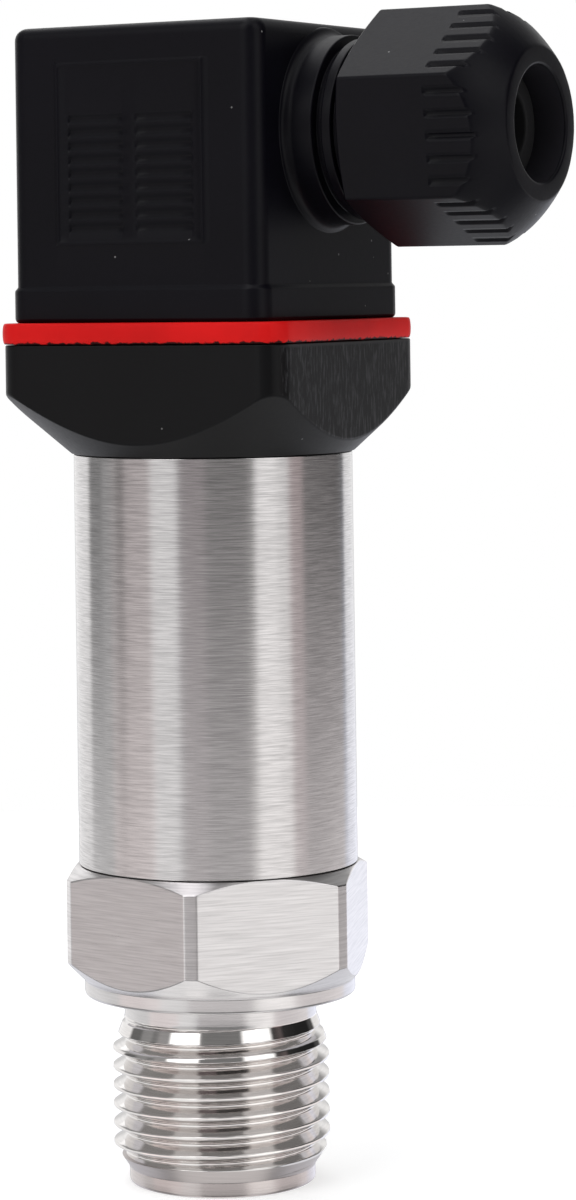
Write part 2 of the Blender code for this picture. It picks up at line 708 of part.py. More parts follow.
def square_adapter():
    """Round-to-square piece: a rounded square whose lower corners are turned away to a cone."""
    foot = ADAPTER_FOOT_OD / 2
    reach = 2 * ADAPTER_CONE_REACH
    rise = 2 * ADAPTER_CONE_RISE
    spigot = SPIGOT_OD / 2
    groove = Z_FOOT - HOUSING_GROOVE_OFFSET - HOUSING_GROOVE_HEIGHT
    floor = spigot - HOUSING_GROOVE_DEPTH
    bore = ADAPTER_WIRE_BORE / 2
    profile = [
        (bore, Z_FOOT + rise),
        (foot + reach, Z_FOOT + rise),
        (foot, Z_FOOT),
        (spigot, Z_FOOT),
        (spigot, groove + HOUSING_GROOVE_HEIGHT),
        (floor, groove + HOUSING_GROOVE_HEIGHT),
        (floor, groove),
        (spigot, groove),
        (spigot, Z_ADAPTER_SPIGOT),
        (bore, Z_ADAPTER_SPIGOT),
    ]
    body = turned("square_adapter", profile, black_adapter())
    half = ADAPTER_WIDTH / 2
    square = block(
        "adapter_outline",
        (-half, half),
        (-half, half),
        (Z_ADAPTER_SPIGOT - ADAPTER_HEIGHT, Z_ADAPTER_TOP),
        corner=ADAPTER_CORNER,
    )
    square.rotation_euler = (0.0, 0.0, ADAPTER_TURN)
    boolean(body, square, "INTERSECT")
    half = RECESS_WIDTH / 2
    recess = block(
        "adapter_recess",
        (-half, half),
        (-half, half),
        (Z_ADAPTER_FLOOR, Z_ADAPTER_TOP + ADAPTER_HEIGHT),
        corner=BASE_CORNER + SEAT_GAP,
    )
    return boolean(body, recess)


def profile_gasket():
    """Flat red seal between the adapter and the plug, with rounded edges."""
    half = GASKET_WIDTH / 2
    ring = block(
        "profile_gasket",
        (-half, half),
        (-half, half),
        (Z_GASKET, Z_GASKET_TOP),
        red_rubber(),
        corner=GASKET_CORNER,
        steps=GASKET_CORNER_STEPS,
    )
    ring.rotation_euler = (0.0, 0.0, ADAPTER_TURN)
    rounding = ring.modifiers.new("edges", "BEVEL")
    rounding.width = GASKET_EDGE
    rounding.segments = EDGE_STEPS
    rounding.limit_method = "ANGLE"
    rounding.angle_limit = math.radians(60.0)
    half = RECESS_WIDTH / 2
    window = block(
        "gasket_window",
        (-half, half),
        (-half, half),
        (Z_GASKET - GASKET_THICKNESS, Z_GASKET_TOP + GASKET_THICKNESS),
        corner=BASE_CORNER + SEAT_GAP,
    )
    return boolean(ring, window)


def blade_block(name, angle, width, thickness, z, finish=None):
    """An upright flat set across the radius at a blade's place."""
    item = block(
        name,
        (BLADE_RADIUS - thickness / 2, BLADE_RADIUS + thickness / 2),
        (-width / 2, width / 2),
        z,
        finish,
    )
    item.rotation_euler = (0.0, 0.0, math.radians(angle))
    return item


def contact_base():
    """Moulded base that carries the blades, hollow below, with its rim on the adapter's floor."""
    half = BASE_WIDTH / 2
    body = block(
        "contact_base",
        (-half, half),
        (-half, half),
        (Z_BASE, Z_BASE_TOP),
        black_plastic(),
        corner=BASE_CORNER,
    )
    for name, angle, width in BLADE_PLACES:
        slot = blade_block(
            name + "_slot",
            angle,
            width + 2 * SLOT_GAP,
            BLADE_THICKNESS + 2 * SLOT_GAP,
            (Z_BASE, Z_BASE_TOP + BLADE_REACH),
        )
        boolean(body, slot)
    pocket = rod(
        "insert_pocket",
        INSERT_OD + 2 * SLOT_GAP,
        (Z_BASE_TOP - INSERT_HEIGHT - SEAT_GAP, Z_BASE_TOP + INSERT_HEIGHT),
    )
    boolean(body, pocket)
    half -= BASE_RIM
    hollow = block(
        "base_hollow",
        (-half, half),
        (-half, half),
        (Z_BASE - BASE_HOLLOW, Z_BASE + BASE_HOLLOW),
        corner=BASE_CORNER,
    )
    return boolean(body, hollow)


def contact_blades():
    """Three contact blades and the wider earth blade."""
    for name, angle, width in BLADE_PLACES:
        blade_block(name, angle, width, BLADE_THICKNESS, (Z_BLADE, Z_BLADE_TOP), tinned_brass())


def threaded_insert():
    """Brass bush in the base that takes the fixing screw."""
    profile = [
        (INSERT_BORE / 2, Z_BASE_TOP),
        (INSERT_OD / 2, Z_BASE_TOP),
        (INSERT_OD / 2, Z_BASE_TOP - INSERT_HEIGHT),
        (INSERT_BORE / 2, Z_BASE_TOP - INSERT_HEIGHT),
    ]
    return turned("threaded_insert", profile, brass(), SMALL_STEPS)


def panel_cutters(face):
    """Raised frame and two columns of grooves on one side of the plug."""
    low = Z_SKIRT_TOP + PANEL_ABOVE_SKIRT
    half = PANEL_WIDTH / 2
    frame = block(
        "panel_frame",
        (PANEL_SHIFT - half, PANEL_SHIFT + half),
        (face - PANEL_RELIEF, face + PANEL_RELIEF),
        (low, low + PANEL_HEIGHT),
    )
    opening = block(
        "panel_field",
        (PANEL_SHIFT - half + PANEL_LINE, PANEL_SHIFT + half - PANEL_LINE),
        (face - 2 * PANEL_RELIEF, face + 2 * PANEL_RELIEF),
        (low + PANEL_LINE, low + PANEL_HEIGHT - PANEL_LINE),
    )
    boolean(frame, opening)
    grooves = bmesh.new()
    for column in (-1, 1):
        centre = PANEL_SHIFT + column * RIB_COLUMN_SPACING / 2
        for row in range(RIB_COUNT):
            height = low + RIB_ABOVE_PANEL + row * RIB_PITCH
            made = bmesh.ops.create_cube(grooves, size=1.0)["verts"]
            bmesh.ops.scale(grooves, vec=(RIB_LENGTH, 2 * RIB_DEPTH, RIB_GROOVE), verts=made)
            bmesh.ops.translate(grooves, vec=(centre, face, height), verts=made)
    cutter = add_object("panel_grooves", mesh_from("panel_grooves", grooves))
    return frame, cutter


def spout():
    """Boss, thread ridges and bore wall of the cable entry, along the gland axis."""
    thread = SPOUT_THREAD_OD / 2
    root = SPOUT_ROOT_OD / 2
    boss = SPOUT_BOSS_OD / 2
    first = X_BOSS_END + SPOUT_GROOVE
    second = first + SPOUT_RIDGE
    third = second + SPOUT_GROOVE
    rooted = X_ROOM + PLUG_WALL / 2
    profile = [
        (0.0, X_SPOUT_END),
        (thread - SPOUT_GROOVE, X_SPOUT_END),
        (thread, X_SPOUT_END - SPOUT_GROOVE),
        (thread, third),
        (root, third),
        (root, second),
        (thread, second),
        (thread, first),
        (root, first),
        (root, X_BOSS_END),
        (boss, X_BOSS_END),
        (boss, X_PLUG_FACE + SPOUT_FILLET_LENGTH),
        (boss + SPOUT_FILLET, X_PLUG_FACE),
        (boss + SPOUT_FILLET, rooted),
        (0.0, rooted),
    ]
    return along_gland(turned("spout_body", profile, steps=LARGE_STEPS, closed=False))


def spout_bore():
    """Stepped bore: a narrow cable way into the wiring room and a wide seat for the seal."""
    profile = [
        (0.0, X_SPOUT_END + SPOUT_BORE),
        (SPOUT_BORE / 2, X_SPOUT_END + SPOUT_BORE),
        (SPOUT_BORE / 2, X_SPOUT_FLOOR),
        (CABLE_BORE / 2, X_SPOUT_FLOOR),
        (CABLE_BORE / 2, X_ROOM - PLUG_WALL),
        (0.0, X_ROOM - PLUG_WALL),
    ]
    return along_gland(turned("spout_bore", profile, steps=MEDIUM_STEPS, closed=False))


def plug_housing():
    """Square plug body with its skirt, wiring room, screw tube, cable spout and side panel."""
    half = PLUG_WIDTH / 2
    x_middle = -PLUG_OFFSET
    body = block(
        "plug_housing",
        (x_middle - half, x_middle + half),
        (-half, half),
        (Z_PLUG + SKIRT_HEIGHT / 2, Z_PLUG_TOP),
        black_plastic(),
        corner=PLUG_CORNER,
        edge=PLUG_TOP_EDGE,
    )
    half = SKIRT_WIDTH / 2
    skirt = block(
        "plug_skirt",
        (x_middle - half, x_middle + half),
        (-half, half),
        (Z_PLUG, Z_SKIRT_TOP),
        corner=PLUG_CORNER,
        edge=SKIRT_EDGE,
    )
    boolean(body, skirt, "UNION")
    boolean(body, spout(), "UNION")
    frame, grooves = panel_cutters(-PLUG_WIDTH / 2)
    boolean(body, frame, "UNION")
    boolean(body, grooves)
    half = ROOM_WIDTH / 2
    room = block(
        "wiring_room",
        (x_middle - half, x_middle + half),
        (-half, half),
        (Z_PLUG - PLUG_WALL, Z_ROOM_TOP),
        corner=PLUG_CORNER,
    )
    tube_bottom = Z_BLOCK_TOP + SEAT_GAP
    tube = rod("screw_tube", SCREW_TUBE_OD, (tube_bottom, Z_PLUG_TOP + PLUG_ROOF), steps=MEDIUM_STEPS)
    boolean(room, tube)
    boolean(body, room)
    boolean(body, spout_bore())
    way = rod("screw_way", SCREW_WAY, (Z_PLUG, Z_PLUG_TOP + PLUG_ROOF))
    boolean(body, way)
    recess = rod("head_recess", HEAD_RECESS_OD, (Z_HEAD_SEAT, Z_PLUG_TOP + PLUG_ROOF), steps=MEDIUM_STEPS)
    return boolean(body, recess)


def clip_width(width):
    """Width of the female contact that takes a blade of this width."""
    return width + 2 * SLOT_GAP + 2 * CLIP_WALL


def terminal_block():
    """Insert of the plug with a pocket for each contact clip and a hole for each screw."""
    half = BLOCK_WIDTH / 2
    body = block(
        "terminal_block",
        (-half, half),
        (-half, half),
        (Z_BLOCK, Z_BLOCK_TOP),
        grey_plastic(),
        corner=BLOCK_CORNER,
    )
    for name, angle, width in BLADE_PLACES:
        pocket = blade_block(
            name + "_pocket",
            angle,
            clip_width(width) + 2 * SLOT_GAP,
            CLIP_DEPTH + 2 * SLOT_GAP,
            (Z_BLOCK - CLIP_DEPTH, Z_CLIP_TOP + SEAT_GAP),
        )
        boolean(body, pocket)
        screw_way = rod(
            name + "_screw_way",
            TERMINAL_HEAD_OD + 2 * SLOT_GAP,
            (Z_CLIP_TOP, Z_BLOCK_TOP + BLOCK_ROOF),
            at=(BLADE_RADIUS, 0.0),
        )
        screw_way.rotation_euler = (0.0, 0.0, math.radians(angle))
        boolean(body, screw_way)
    way = rod("block_screw_way", SCREW_WAY, (Z_BLOCK - BLOCK_ROOF, Z_BLOCK_TOP + BLOCK_ROOF))
    return boolean(body, way)


def contact_clips():
    """Female contacts, each a block with a slot from below for its blade."""
    for number, (name, angle, width) in enumerate(BLADE_PLACES, start=1):
        clip = blade_block(
            f"contact_clip_{number}",
            angle,
            clip_width(width),
            CLIP_DEPTH,
            (Z_CLIP, Z_CLIP_TOP),
            tinned_brass(),
        )
        slot = blade_block(
            f"clip_slot_{number}",
            angle,
            width + 2 * SLOT_GAP,
            BLADE_THICKNESS + 2 * SLOT_GAP,
            (Z_CLIP - CLIP_ROOF, Z_CLIP_SLOT_TOP),
        )
        boolean(clip, slot)


def headed_screw(name, shank, head, slot_depth, finish):
    """A slotted screw standing on its tip: shank and head are (diameter, bottom, top)."""
    profile = [
        (0.0, head[2]),
        (head[0] / 2, head[2]),
        (head[0] / 2, head[1]),
        (shank[0] / 2, head[1]),
        (shank[0] / 2, shank[1]),
        (0.0, shank[1]),
    ]
    screw = turned(name, profile, finish, SMALL_STEPS, closed=False)
    slot = block(
        name + "_slot",
        (-head[0], head[0]),
        (-SCREW_SLOT_WIDTH / 2, SCREW_SLOT_WIDTH / 2),
        (head[2] - slot_depth, head[2] + slot_depth),
    )
    return boolean(screw, slot), slot


def terminal_screws():
    """Clamping screws above the contact clips."""
    low = Z_CLIP_TOP + SEAT_GAP
    head = low + TERMINAL_SCREW_LENGTH
    for number, (_name, angle, _width) in enumerate(BLADE_PLACES, start=1):
        place = (
            BLADE_RADIUS * math.cos(math.radians(angle)),
            BLADE_RADIUS * math.sin(math.radians(angle)),
            0.0,
        )
        for item in headed_screw(
            f"terminal_screw_{number}",
            (TERMINAL_SCREW_OD, low, head),
            (TERMINAL_HEAD_OD, head, head + TERMINAL_HEAD_HEIGHT),
            SCREW_SLOT_DEPTH,
            zinc(),
        ):
            item.location = place


def screw_seal():
    """Soft washer under the head of the fixing screw."""
    low = Z_HEAD_SEAT + SEAT_GAP
    profile = [
        (SCREW_WAY / 2, low + SCREW_SEAL_THICKNESS),
        (SCREW_SEAL_OD / 2, low + SCREW_SEAL_THICKNESS),
        (SCREW_SEAL_OD / 2, low),
        (SCREW_WAY / 2, low),
    ]
    return turned("screw_seal", profile, black_rubber(), SMALL_STEPS)


def fixing_screw():
    """Long screw from the top of the plug into the insert of the base."""
    head = Z_HEAD_SEAT + SCREW_SEAL_THICKNESS + 2 * SEAT_GAP
    return headed_screw(
        "fixing_screw",
        (FIXING_SCREW_OD, Z_BASE_TOP - FIXING_IN_INSERT, head),
        (FIXING_HEAD_OD, head, head + FIXING_HEAD_HEIGHT),
        2 * SCREW_SLOT_DEPTH,
        zinc(),
    )


def dome_profile():
    """Points of the nut's domed front from its face back to its corners, on a shallow arc."""
    widening = (NUT_CORNERS_OD - NUT_FACE_OD) / 2
    points = []
    for step in range(NUT_DOME_POINTS + 1):
        t = step / NUT_DOME_POINTS
        bulge = 4 * t * (1 - t) * NUT_DOME_BULGE
        radius = NUT_FACE_OD / 2 + widening * t + bulge
        points.append((radius, X_NUT_END - NUT_DOME_LENGTH * t + bulge))
    return points


def gland_nut():
    """Hexagonal clamping nut with a domed front and short grip grooves on each flat."""
    bore = NUT_BORE / 2
    profile = [(NUT_MOUTH / 2, X_NUT_END)]
    profile += dome_profile()
    profile += [
        (NUT_CORNERS_OD / 2, X_NUT + NUT_BACK_CHAMFER),
        (NUT_BACK_OD / 2, X_NUT),
        (bore, X_NUT),
        (bore, X_NUT_SHOULDER),
        (NUT_MOUTH / 2, X_NUT_SHOULDER),
    ]
    nut = along_gland(turned("gland_nut", profile, black_plastic()))
    outline = along_gland(prism("nut_outline", 6, NUT_FLATS, (X_NUT - NUT_FRONT, X_NUT_END + NUT_FRONT)))
    boolean(nut, outline, "INTERSECT")
    grips = bmesh.new()
    end = X_NUT_END - NUT_DOME_LENGTH + GRIP_PAST_DOME_START
    for flat in range(6):
        turn = Matrix.Rotation(math.pi / 3 * (flat + 0.5), 3, "Z")
        for groove in range(GRIP_PER_FLAT):
            across = (groove - (GRIP_PER_FLAT - 1) / 2) * GRIP_PITCH
            made = bmesh.ops.create_cube(grips, size=1.0)["verts"]
            bmesh.ops.scale(grips, vec=(2 * GRIP_DEPTH, GRIP_WIDTH, GRIP_LENGTH), verts=made)
            bmesh.ops.translate(grips, vec=(NUT_FLATS / 2, across, end - GRIP_LENGTH / 2), verts=made)
            bmesh.ops.rotate(grips, cent=(0, 0, 0), matrix=turn, verts=made)
    cutter = along_gland(add_object("grip_grooves", mesh_from("grip_grooves", grips)))
    return boolean(nut, cutter)


def gland_washer():
    """Slip washer between the nut and the seal."""
    outer = SPOUT_THREAD_OD / 2
    profile = [
        (WASHER_BORE / 2, X_WASHER + WASHER_THICKNESS),
        (outer, X_WASHER + WASHER_THICKNESS),
        (outer, X_WASHER),
        (WASHER_BORE / 2, X_WASHER),
    ]
    return along_gland(turned("gland_washer", profile, grey_plastic(), MEDIUM_STEPS))


def gland_seal():
    """Stepped rubber bush that grips the cable, its nose reaching into the nut's mouth."""
    nose = SEAL_NOSE_OD / 2
    body = SPOUT_BORE / 2 - SEAT_GAP
    profile = [
        (SEAL_BORE / 2, X_NUT_END - SEAL_NOSE_SETBACK),
        (nose, X_NUT_END - SEAL_NOSE_SETBACK),
        (nose, X_SPOUT_END),
        (body, X_SPOUT_END),
        (body, X_SPOUT_FLOOR + SEAT_GAP),
        (SEAL_BORE / 2, X_SPOUT_FLOOR + SEAT_GAP),
    ]
    return along_gland(turned("gland_seal", profile, black_rubber(), MEDIUM_STEPS))


def main():
    """Builds every part."""
    global MAIN, CUTTERS
    clear_scene()
    MAIN = new_collection("pressure_transducer")
    CUTTERS = new_collection("cutters")
    process_fitting()
    sensor_capsule()
    capsule_o_ring()
    retaining_ring()
    housing_seal("fitting_o_ring", Z_HEX_TOP + HOUSING_GROOVE_OFFSET)
    housing_tube()
    board_holder()
    circuit_board()
    amplifier_chip()
    trimmers()
    housing_seal("adapter_o_ring", Z_FOOT - HOUSING_GROOVE_OFFSET - HOUSING_GROOVE_HEIGHT)
    square_adapter()
    profile_gasket()
    contact_base()
    contact_blades()
    threaded_insert()
    plug_housing()
    terminal_block()
    contact_clips()
    terminal_screws()
    screw_seal()
    fixing_screw()
    gland_nut()
    gland_washer()
    gland_seal()


main()
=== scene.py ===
"""Looks of the pressure transducer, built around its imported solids.

The sensor axis is the Z axis, the end of the nose is at height 0 and the cable gland points
along +X. Shapes are worked out in millimetres and put into metres when a mesh is made.
"""

import math

import bpy
import numpy as np
from bpy.props import FloatProperty, FloatVectorProperty, PointerProperty
from bpy.types import Operator, Panel, PropertyGroup
from mathutils import Matrix, Vector


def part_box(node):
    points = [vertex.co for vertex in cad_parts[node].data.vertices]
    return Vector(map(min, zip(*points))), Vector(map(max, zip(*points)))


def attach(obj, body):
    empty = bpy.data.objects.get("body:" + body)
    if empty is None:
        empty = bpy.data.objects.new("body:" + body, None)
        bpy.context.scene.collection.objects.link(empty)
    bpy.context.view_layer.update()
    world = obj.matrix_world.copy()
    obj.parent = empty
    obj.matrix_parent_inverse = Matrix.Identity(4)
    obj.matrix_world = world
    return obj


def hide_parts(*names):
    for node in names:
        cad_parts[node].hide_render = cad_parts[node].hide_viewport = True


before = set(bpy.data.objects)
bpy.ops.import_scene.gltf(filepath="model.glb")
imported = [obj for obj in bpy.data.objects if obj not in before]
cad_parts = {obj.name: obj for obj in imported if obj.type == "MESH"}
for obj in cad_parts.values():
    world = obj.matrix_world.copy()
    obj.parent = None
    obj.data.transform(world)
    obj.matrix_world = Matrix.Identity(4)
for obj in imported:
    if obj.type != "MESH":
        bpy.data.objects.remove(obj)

bl_info = {
    "name": "Pressure transducer",
    "version": (1, 0, 0),
    "blender": (4, 5, 0),
    "location": "3D View > Sidebar > Transducer",
    "description": "Builds the looks of a pressure transducer around its packed solids",
    "category": "Object",
}

MM = 0.001
BODY = "root"


def node_box(name):
    """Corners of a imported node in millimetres."""
    low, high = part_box(name)
    return np.array(low) / MM, np.array(high) / MM


FITTING_HIGH = node_box("process_fitting")[1]
TUBE_LOW, TUBE_HIGH = node_box("housing_tube")
ADAPTER_LOW, ADAPTER_HIGH = node_box("square_adapter")
GASKET_LOW, GASKET_HIGH = node_box("profile_gasket")
PLUG_LOW, PLUG_HIGH = node_box("plug_housing")
NUT_LOW, NUT_HIGH = node_box("gland_nut")

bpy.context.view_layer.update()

# Process fitting, from the bore up: radii of its turned surfaces and heights of its shoulders
PORT_RADIUS = 3.0
NOSE_RADIUS = 8.9975
LEAD_IN = (1.45, 3.65)
RUN_OUT = (12.9, 15.95)
NECK_START = RUN_OUT[1] + 0.4
COLLAR_LEVEL = 18.15
HEX_LEVEL = 19.55
HEX_TOP = 30.65
HEX_CORNER = math.radians(-9.8)
HEX_CHAMFER = math.radians(30.0)
HEX_CHAMFER_HEIGHT = 1.0
RIM_GAP = 0.02
STRIP_MARKS = (-0.9, -0.5, -0.25, 0.0, 0.25, 0.5, 0.9)
TURNED_RADIUS = 15.296
SPIGOT_RADIUS = 12.1
GROOVE_FLOOR = 10.7
GROOVE_WIDTH = 2.0
GROOVE_LEVEL = HEX_TOP + 2.2
SEAT_RADIUS = 9.8
SEAT_LEVEL = 22.55

# Thread: its form, the heights of its rows, how far they crowd, and where its polish starts
THREAD_FLANK = math.radians(28.44)
ROOT_WIDTH = 0.18
CREST_SOFTNESS = 0.05
ROOT_SOFTNESS = 0.015
CONE_SOFTNESS = 0.03
ROW_STEP = 0.05
ROWS_FROM = LEAD_IN[0] - 0.25
ROWS_TO = RUN_OUT[1] + 0.15
NOSE_END = LEAD_IN[0] - 0.35
CROWDING = 0.65
CROWDING_FADE = 0.4
CROWDING_END = RUN_OUT[1] - 0.6
POLISH_LEVEL = 2.8

# Finishes of the fitting by zone, the rows at either end of the profile that belong to the
# nose, and the rows above the thread that belong to the hexagon. The chamfer under the thread
# and the nose take darker copies of the steel: painted shade from the floor near the foot.
FITTING_FINISHES = ("polished_thread", "satin_steel", "hexagon_steel", "dull_steel", "nose_steel")
POLISHED, SATIN, HEXAGON, SHADED_CHAMFER, NOSE = range(len(FITTING_FINISHES))
NOSE_ROWS = 5
HEXAGON_ROWS = (15, 24)

# Tube, round-to-square adapter and gasket; both squares are twisted and set off a little
TUBE_BORE = 12.4
TUBE_REACH = 0.22
ADAPTER_FOOT = 13.7
ADAPTER_FOOT_LEVEL = 70.35
ADAPTER_CONE = 5.8 / 6.6
ADAPTER_HALF = 15.13
ADAPTER_CORNER = 2.45
ADAPTER_REACH = 0.17
ADAPTER_BORE = 9.5
ADAPTER_FLOOR = 74.15
ADAPTER_GROOVE = ADAPTER_FOOT_LEVEL - 4.2
ADAPTER_SHIFT = (-0.09, -0.05)
GASKET_HALF = 15.29
GASKET_CORNER = 2.6
GASKET_REACH = (0.07, 0.2)
GASKET_EDGE = 0.30
GASKET_SQUARENESS = 0.28
GASKET_SHIFT = (-0.16, -0.1)
TWIST = math.radians(2.2)
COLUMN_HALF = 15.0
COLUMN_CORNER = 2.4
RECESS_HALF = 10.9
RECESS_CORNER = 1.5

# Plug housing and the raised frame with grooves on its side
PLUG_CENTRE = -0.4
PLUG_HALF = 13.7
PLUG_CORNER = 1.7
PLUG_EDGE = 1.2
SKIRT_TOP = 86.45
ROOM_HALF = 11.6
ROOM_TOP = 106.05
HEAD_RECESS = (3.6, 107.65)
SCREW_WAY = 2.0
SCREW_TUBE = (3.1, 98.7)
PANEL_MIDDLE = PLUG_CENTRE - 0.25
PANEL_HALF = 8.15
PANEL_LEVELS = (90.35, 107.75)
PANEL_LINE = 0.4
RIB_LENGTH = 6.0
RIB_SPACING = 7.6
RIB_COUNT = 9
RIB_FIRST = 91.65
RIB_PITCH = 1.3
RIB_HEIGHT = 0.7
WALL = 0.14
RIB_WALL = WALL * 1.6

# Cable gland: spout of the plug, nut and seal, as radii and as reaches along +X
GLAND_LEVEL = 101.0
SPOUT_BOSS = (9.0, 16.3)
SPOUT_RIDGE = (8.6, 17.05, 18.1)
SPOUT_RADIUS = 8.0
SPOUT_BORE = 7.0
SPOUT_END = 26.9
NUT_TURN = math.radians(7.3)
NUT_FLATS = 9.8
NUT_TURNED = 11.246
NUT_FOOT = 9.6
NUT_CHAMFER = 0.45
GRIP_PITCH = 2.1
GRIP_WIDTH = 0.55
GRIP_WALL = 0.16
GRIP_START = (28.45, 28.6, 28.85)
DOME_START = 31.1
DOME_FACE = 7.2
NUT_MOUTH = 5.45
NUT_BORE = 8.9
NUT_SHOULDER = 28.3
SEAL_BORE = 3.2
SEAL_NOSE = (5.05, 32.6)
SEAL_BODY = (6.7, 13.7)


class TransducerSizes(PropertyGroup):
    """Sizes that a user may change."""

    thread_diameter: FloatProperty(
        name="Thread diameter", description="Over the crests of the process thread",
        default=0.020955, unit="LENGTH", precision=5)
    thread_pitch: FloatProperty(
        name="Thread pitch", description="Distance from crest to crest",
        default=0.001814, unit="LENGTH", precision=5)
    thread_depth: FloatProperty(
        name="Thread depth", description="From crest to root",
        default=0.00127, unit="LENGTH", precision=5)
    hex_flats: FloatProperty(
        name="Hexagon", description="Across the flats of the hexagon",
        default=0.0271, unit="LENGTH", precision=4)
    collar_diameter: FloatProperty(
        name="Collar", description="Diameter of the collar under the hexagon",
        default=0.0262, unit="LENGTH", precision=4)
    neck_diameter: FloatProperty(
        name="Neck", description="Diameter of the relief above the thread",
        default=0.018595, unit="LENGTH", precision=5)
    edge_break: FloatProperty(
        name="Edge break", description="How far the edges of the steel parts are broken",
        default=0.00012, unit="LENGTH", precision=5)
    gasket_bulge: FloatProperty(
        name="Gasket bulge", description="How far the pressed gasket swells between its edges",
        default=0.00012, unit="LENGTH", precision=5)
    panel_relief: FloatProperty(
        name="Panel relief", description="Height of the frame on the side of the plug",
        default=0.0002, unit="LENGTH", precision=5)
    rib_depth: FloatProperty(
        name="Groove depth", description="Depth of the grooves on the side of the plug",
        default=0.0003, unit="LENGTH", precision=5)
    grip_depth: FloatProperty(
        name="Grip depth", description="Depth of the grip grooves in the gland nut",
        default=0.00032, unit="LENGTH", precision=5)
    dome_bulge: FloatProperty(
        name="Dome bulge", description="How far the dome of the gland nut swells over a cone",
        default=0.00045, unit="LENGTH", precision=5)


class TransducerColours(PropertyGroup):
    """Colours that a user may change, as linear light."""

    steel: FloatVectorProperty(
        name="Stainless steel", description="Turned and brushed stainless parts",
        subtype="COLOR", size=3, min=0.0, max=1.0, default=(0.625, 0.608, 0.607))
    # Darker copy of the steel for the chamfer under the thread: painted shade from the floor.
    dull_steel: FloatVectorProperty(
        name="Shaded chamfer steel", description="Chamfer at the lower end of the thread",
        subtype="COLOR", size=3, min=0.0, max=1.0, default=(0.49, 0.45, 0.44))
    # Darker, warmer copy of the steel for the nose: painted shade near the floor.
    nose_steel: FloatVectorProperty(
        name="Nose steel", description="Nose under the thread",
        subtype="COLOR", size=3, min=0.0, max=1.0, default=(0.5978, 0.549, 0.5368))
    plug: FloatVectorProperty(
        name="Plug", description="Black moulding of the plug and the gland nut",
        subtype="COLOR", size=3, min=0.0, max=1.0, default=(0.0034, 0.0031, 0.0058))
    adapter: FloatVectorProperty(
        name="Adapter", description="Black square piece under the plug",
        subtype="COLOR", size=3, min=0.0, max=1.0, default=(0.003, 0.003, 0.0038))
    gasket: FloatVectorProperty(
        name="Gasket", description="Red seal under the plug",
        subtype="COLOR", size=3, min=0.0, max=1.0, default=(0.8, 0.010, 0.010))
    floor: FloatVectorProperty(
        name="Floor", description="Pale floor of the stage",
        subtype="COLOR", size=3, min=0.0, max=1.0, default=(0.8, 0.8, 0.8))


# Points, grids and meshes


def area_normals(points, faces):
    """Vertex normals as the sum of the faces' area vectors, so that large flats stay flat."""
    total = np.zeros_like(points)
    for face in faces:
        corners = points[face]
        arms = corners - corners.mean(axis=1, keepdims=True)
        area = np.cross(arms, np.roll(arms, -1, axis=1)).sum(axis=1)
        for corner in range(face.shape[1]):
            np.add.at(total, face[:, corner], area)
    length = np.linalg.norm(total, axis=1, keepdims=True)
    return total / np.maximum(length, 1e-20)


def grid_faces(rows, columns, loop, zones):
    """Quads between neighbouring rows and columns, columns closing on themselves.

    With loop, the last row meets the first. Returns the faces and the zone of each."""
    index = np.arange(rows * columns).reshape(rows, columns)
    if loop:
        index = np.vstack((index, index[:1]))
    low, high = index[:-1], index[1:]
    quads = np.stack((low, np.roll(low, -1, axis=1), np.roll(high, -1, axis=1), high), axis=-1)
    bands = quads.shape[0]
    zone = np.zeros(bands, int) if zones is None else np.asarray(zones)[:bands]
    return quads.reshape(-1, 4), np.repeat(zone, columns)


def shell(grid, loop=True, zones=None):
    """One closed shell over a grid of points: (points, quads, triangles, their zones).

    Rows that are drawn together to a point become poles, and faces are turned outwards by
    the sign of the enclosed volume."""
    rows, columns = grid.shape[:2]
    points = grid.reshape(-1, 3)
    quads, zone = grid_faces(rows, columns, loop, zones)
    merged = np.arange(len(points))
    for row in (0, rows - 1):
        if np.ptp(grid[row], axis=0).max() < 1e-7:
            merged[row * columns:(row + 1) * columns] = row * columns
    quads = merged[quads]
    pinched = (quads[:, 0] == quads[:, 1]) | (quads[:, 2] == quads[:, 3])
    pole = quads[pinched]
    first = pole[:, 0] == pole[:, 1]
    tris = np.where(first[:, None], pole[:, [0, 2, 3]], pole[:, [0, 1, 2]])
    tri_zone = zone[pinched]
    quads, zone = quads[~pinched], zone[~pinched]
    used, back = np.unique(np.concatenate((quads.ravel(), tris.ravel())), return_inverse=True)
    points = points[used]
    quads, tris = back[:quads.size].reshape(-1, 4), back[quads.size:].reshape(-1, 3)
    solid = np.concatenate((quads[:, :3], quads[:, [0, 2, 3]], tris))
    a, b, c = (points[solid[:, k]] for k in range(3))
    if np.einsum("ij,ij->i", a, np.cross(b, c)).sum() < 0.0:
        quads, tris = quads[:, ::-1], tris[:, ::-1]
    return points, quads, tris, zone, tri_zone


def make_piece(name, shells, finishes, node):
    """A piece from one or more closed shells, with smooth faces and area-weighted normals.

    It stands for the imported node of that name."""
    starts = np.cumsum([0] + [len(part[0]) for part in shells])
    points = np.concatenate([part[0] for part in shells])
    quads, tris = (np.concatenate([part[k] + start for part, start in zip(shells, starts)])
                   for k in (1, 2))
    zones = np.concatenate([part[k] for k in (3, 4) for part in shells])
    mesh = bpy.data.meshes.new(name)
    mesh.from_pydata((points * MM).tolist(), [], quads.tolist() + tris.tolist())
    mesh.polygons.foreach_set("material_index", zones.astype(np.int32))
    mesh.shade_smooth()
    for key in finishes:
        mesh.materials.append(finish(key))
    mesh.normals_split_custom_set_from_vertices(area_normals(points, (quads, tris)).tolist())
    mesh.validate()
    item = bpy.data.objects.new(name, mesh)
    bpy.context.scene.collection.objects.link(item)
    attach(item, BODY)
    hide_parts(node)


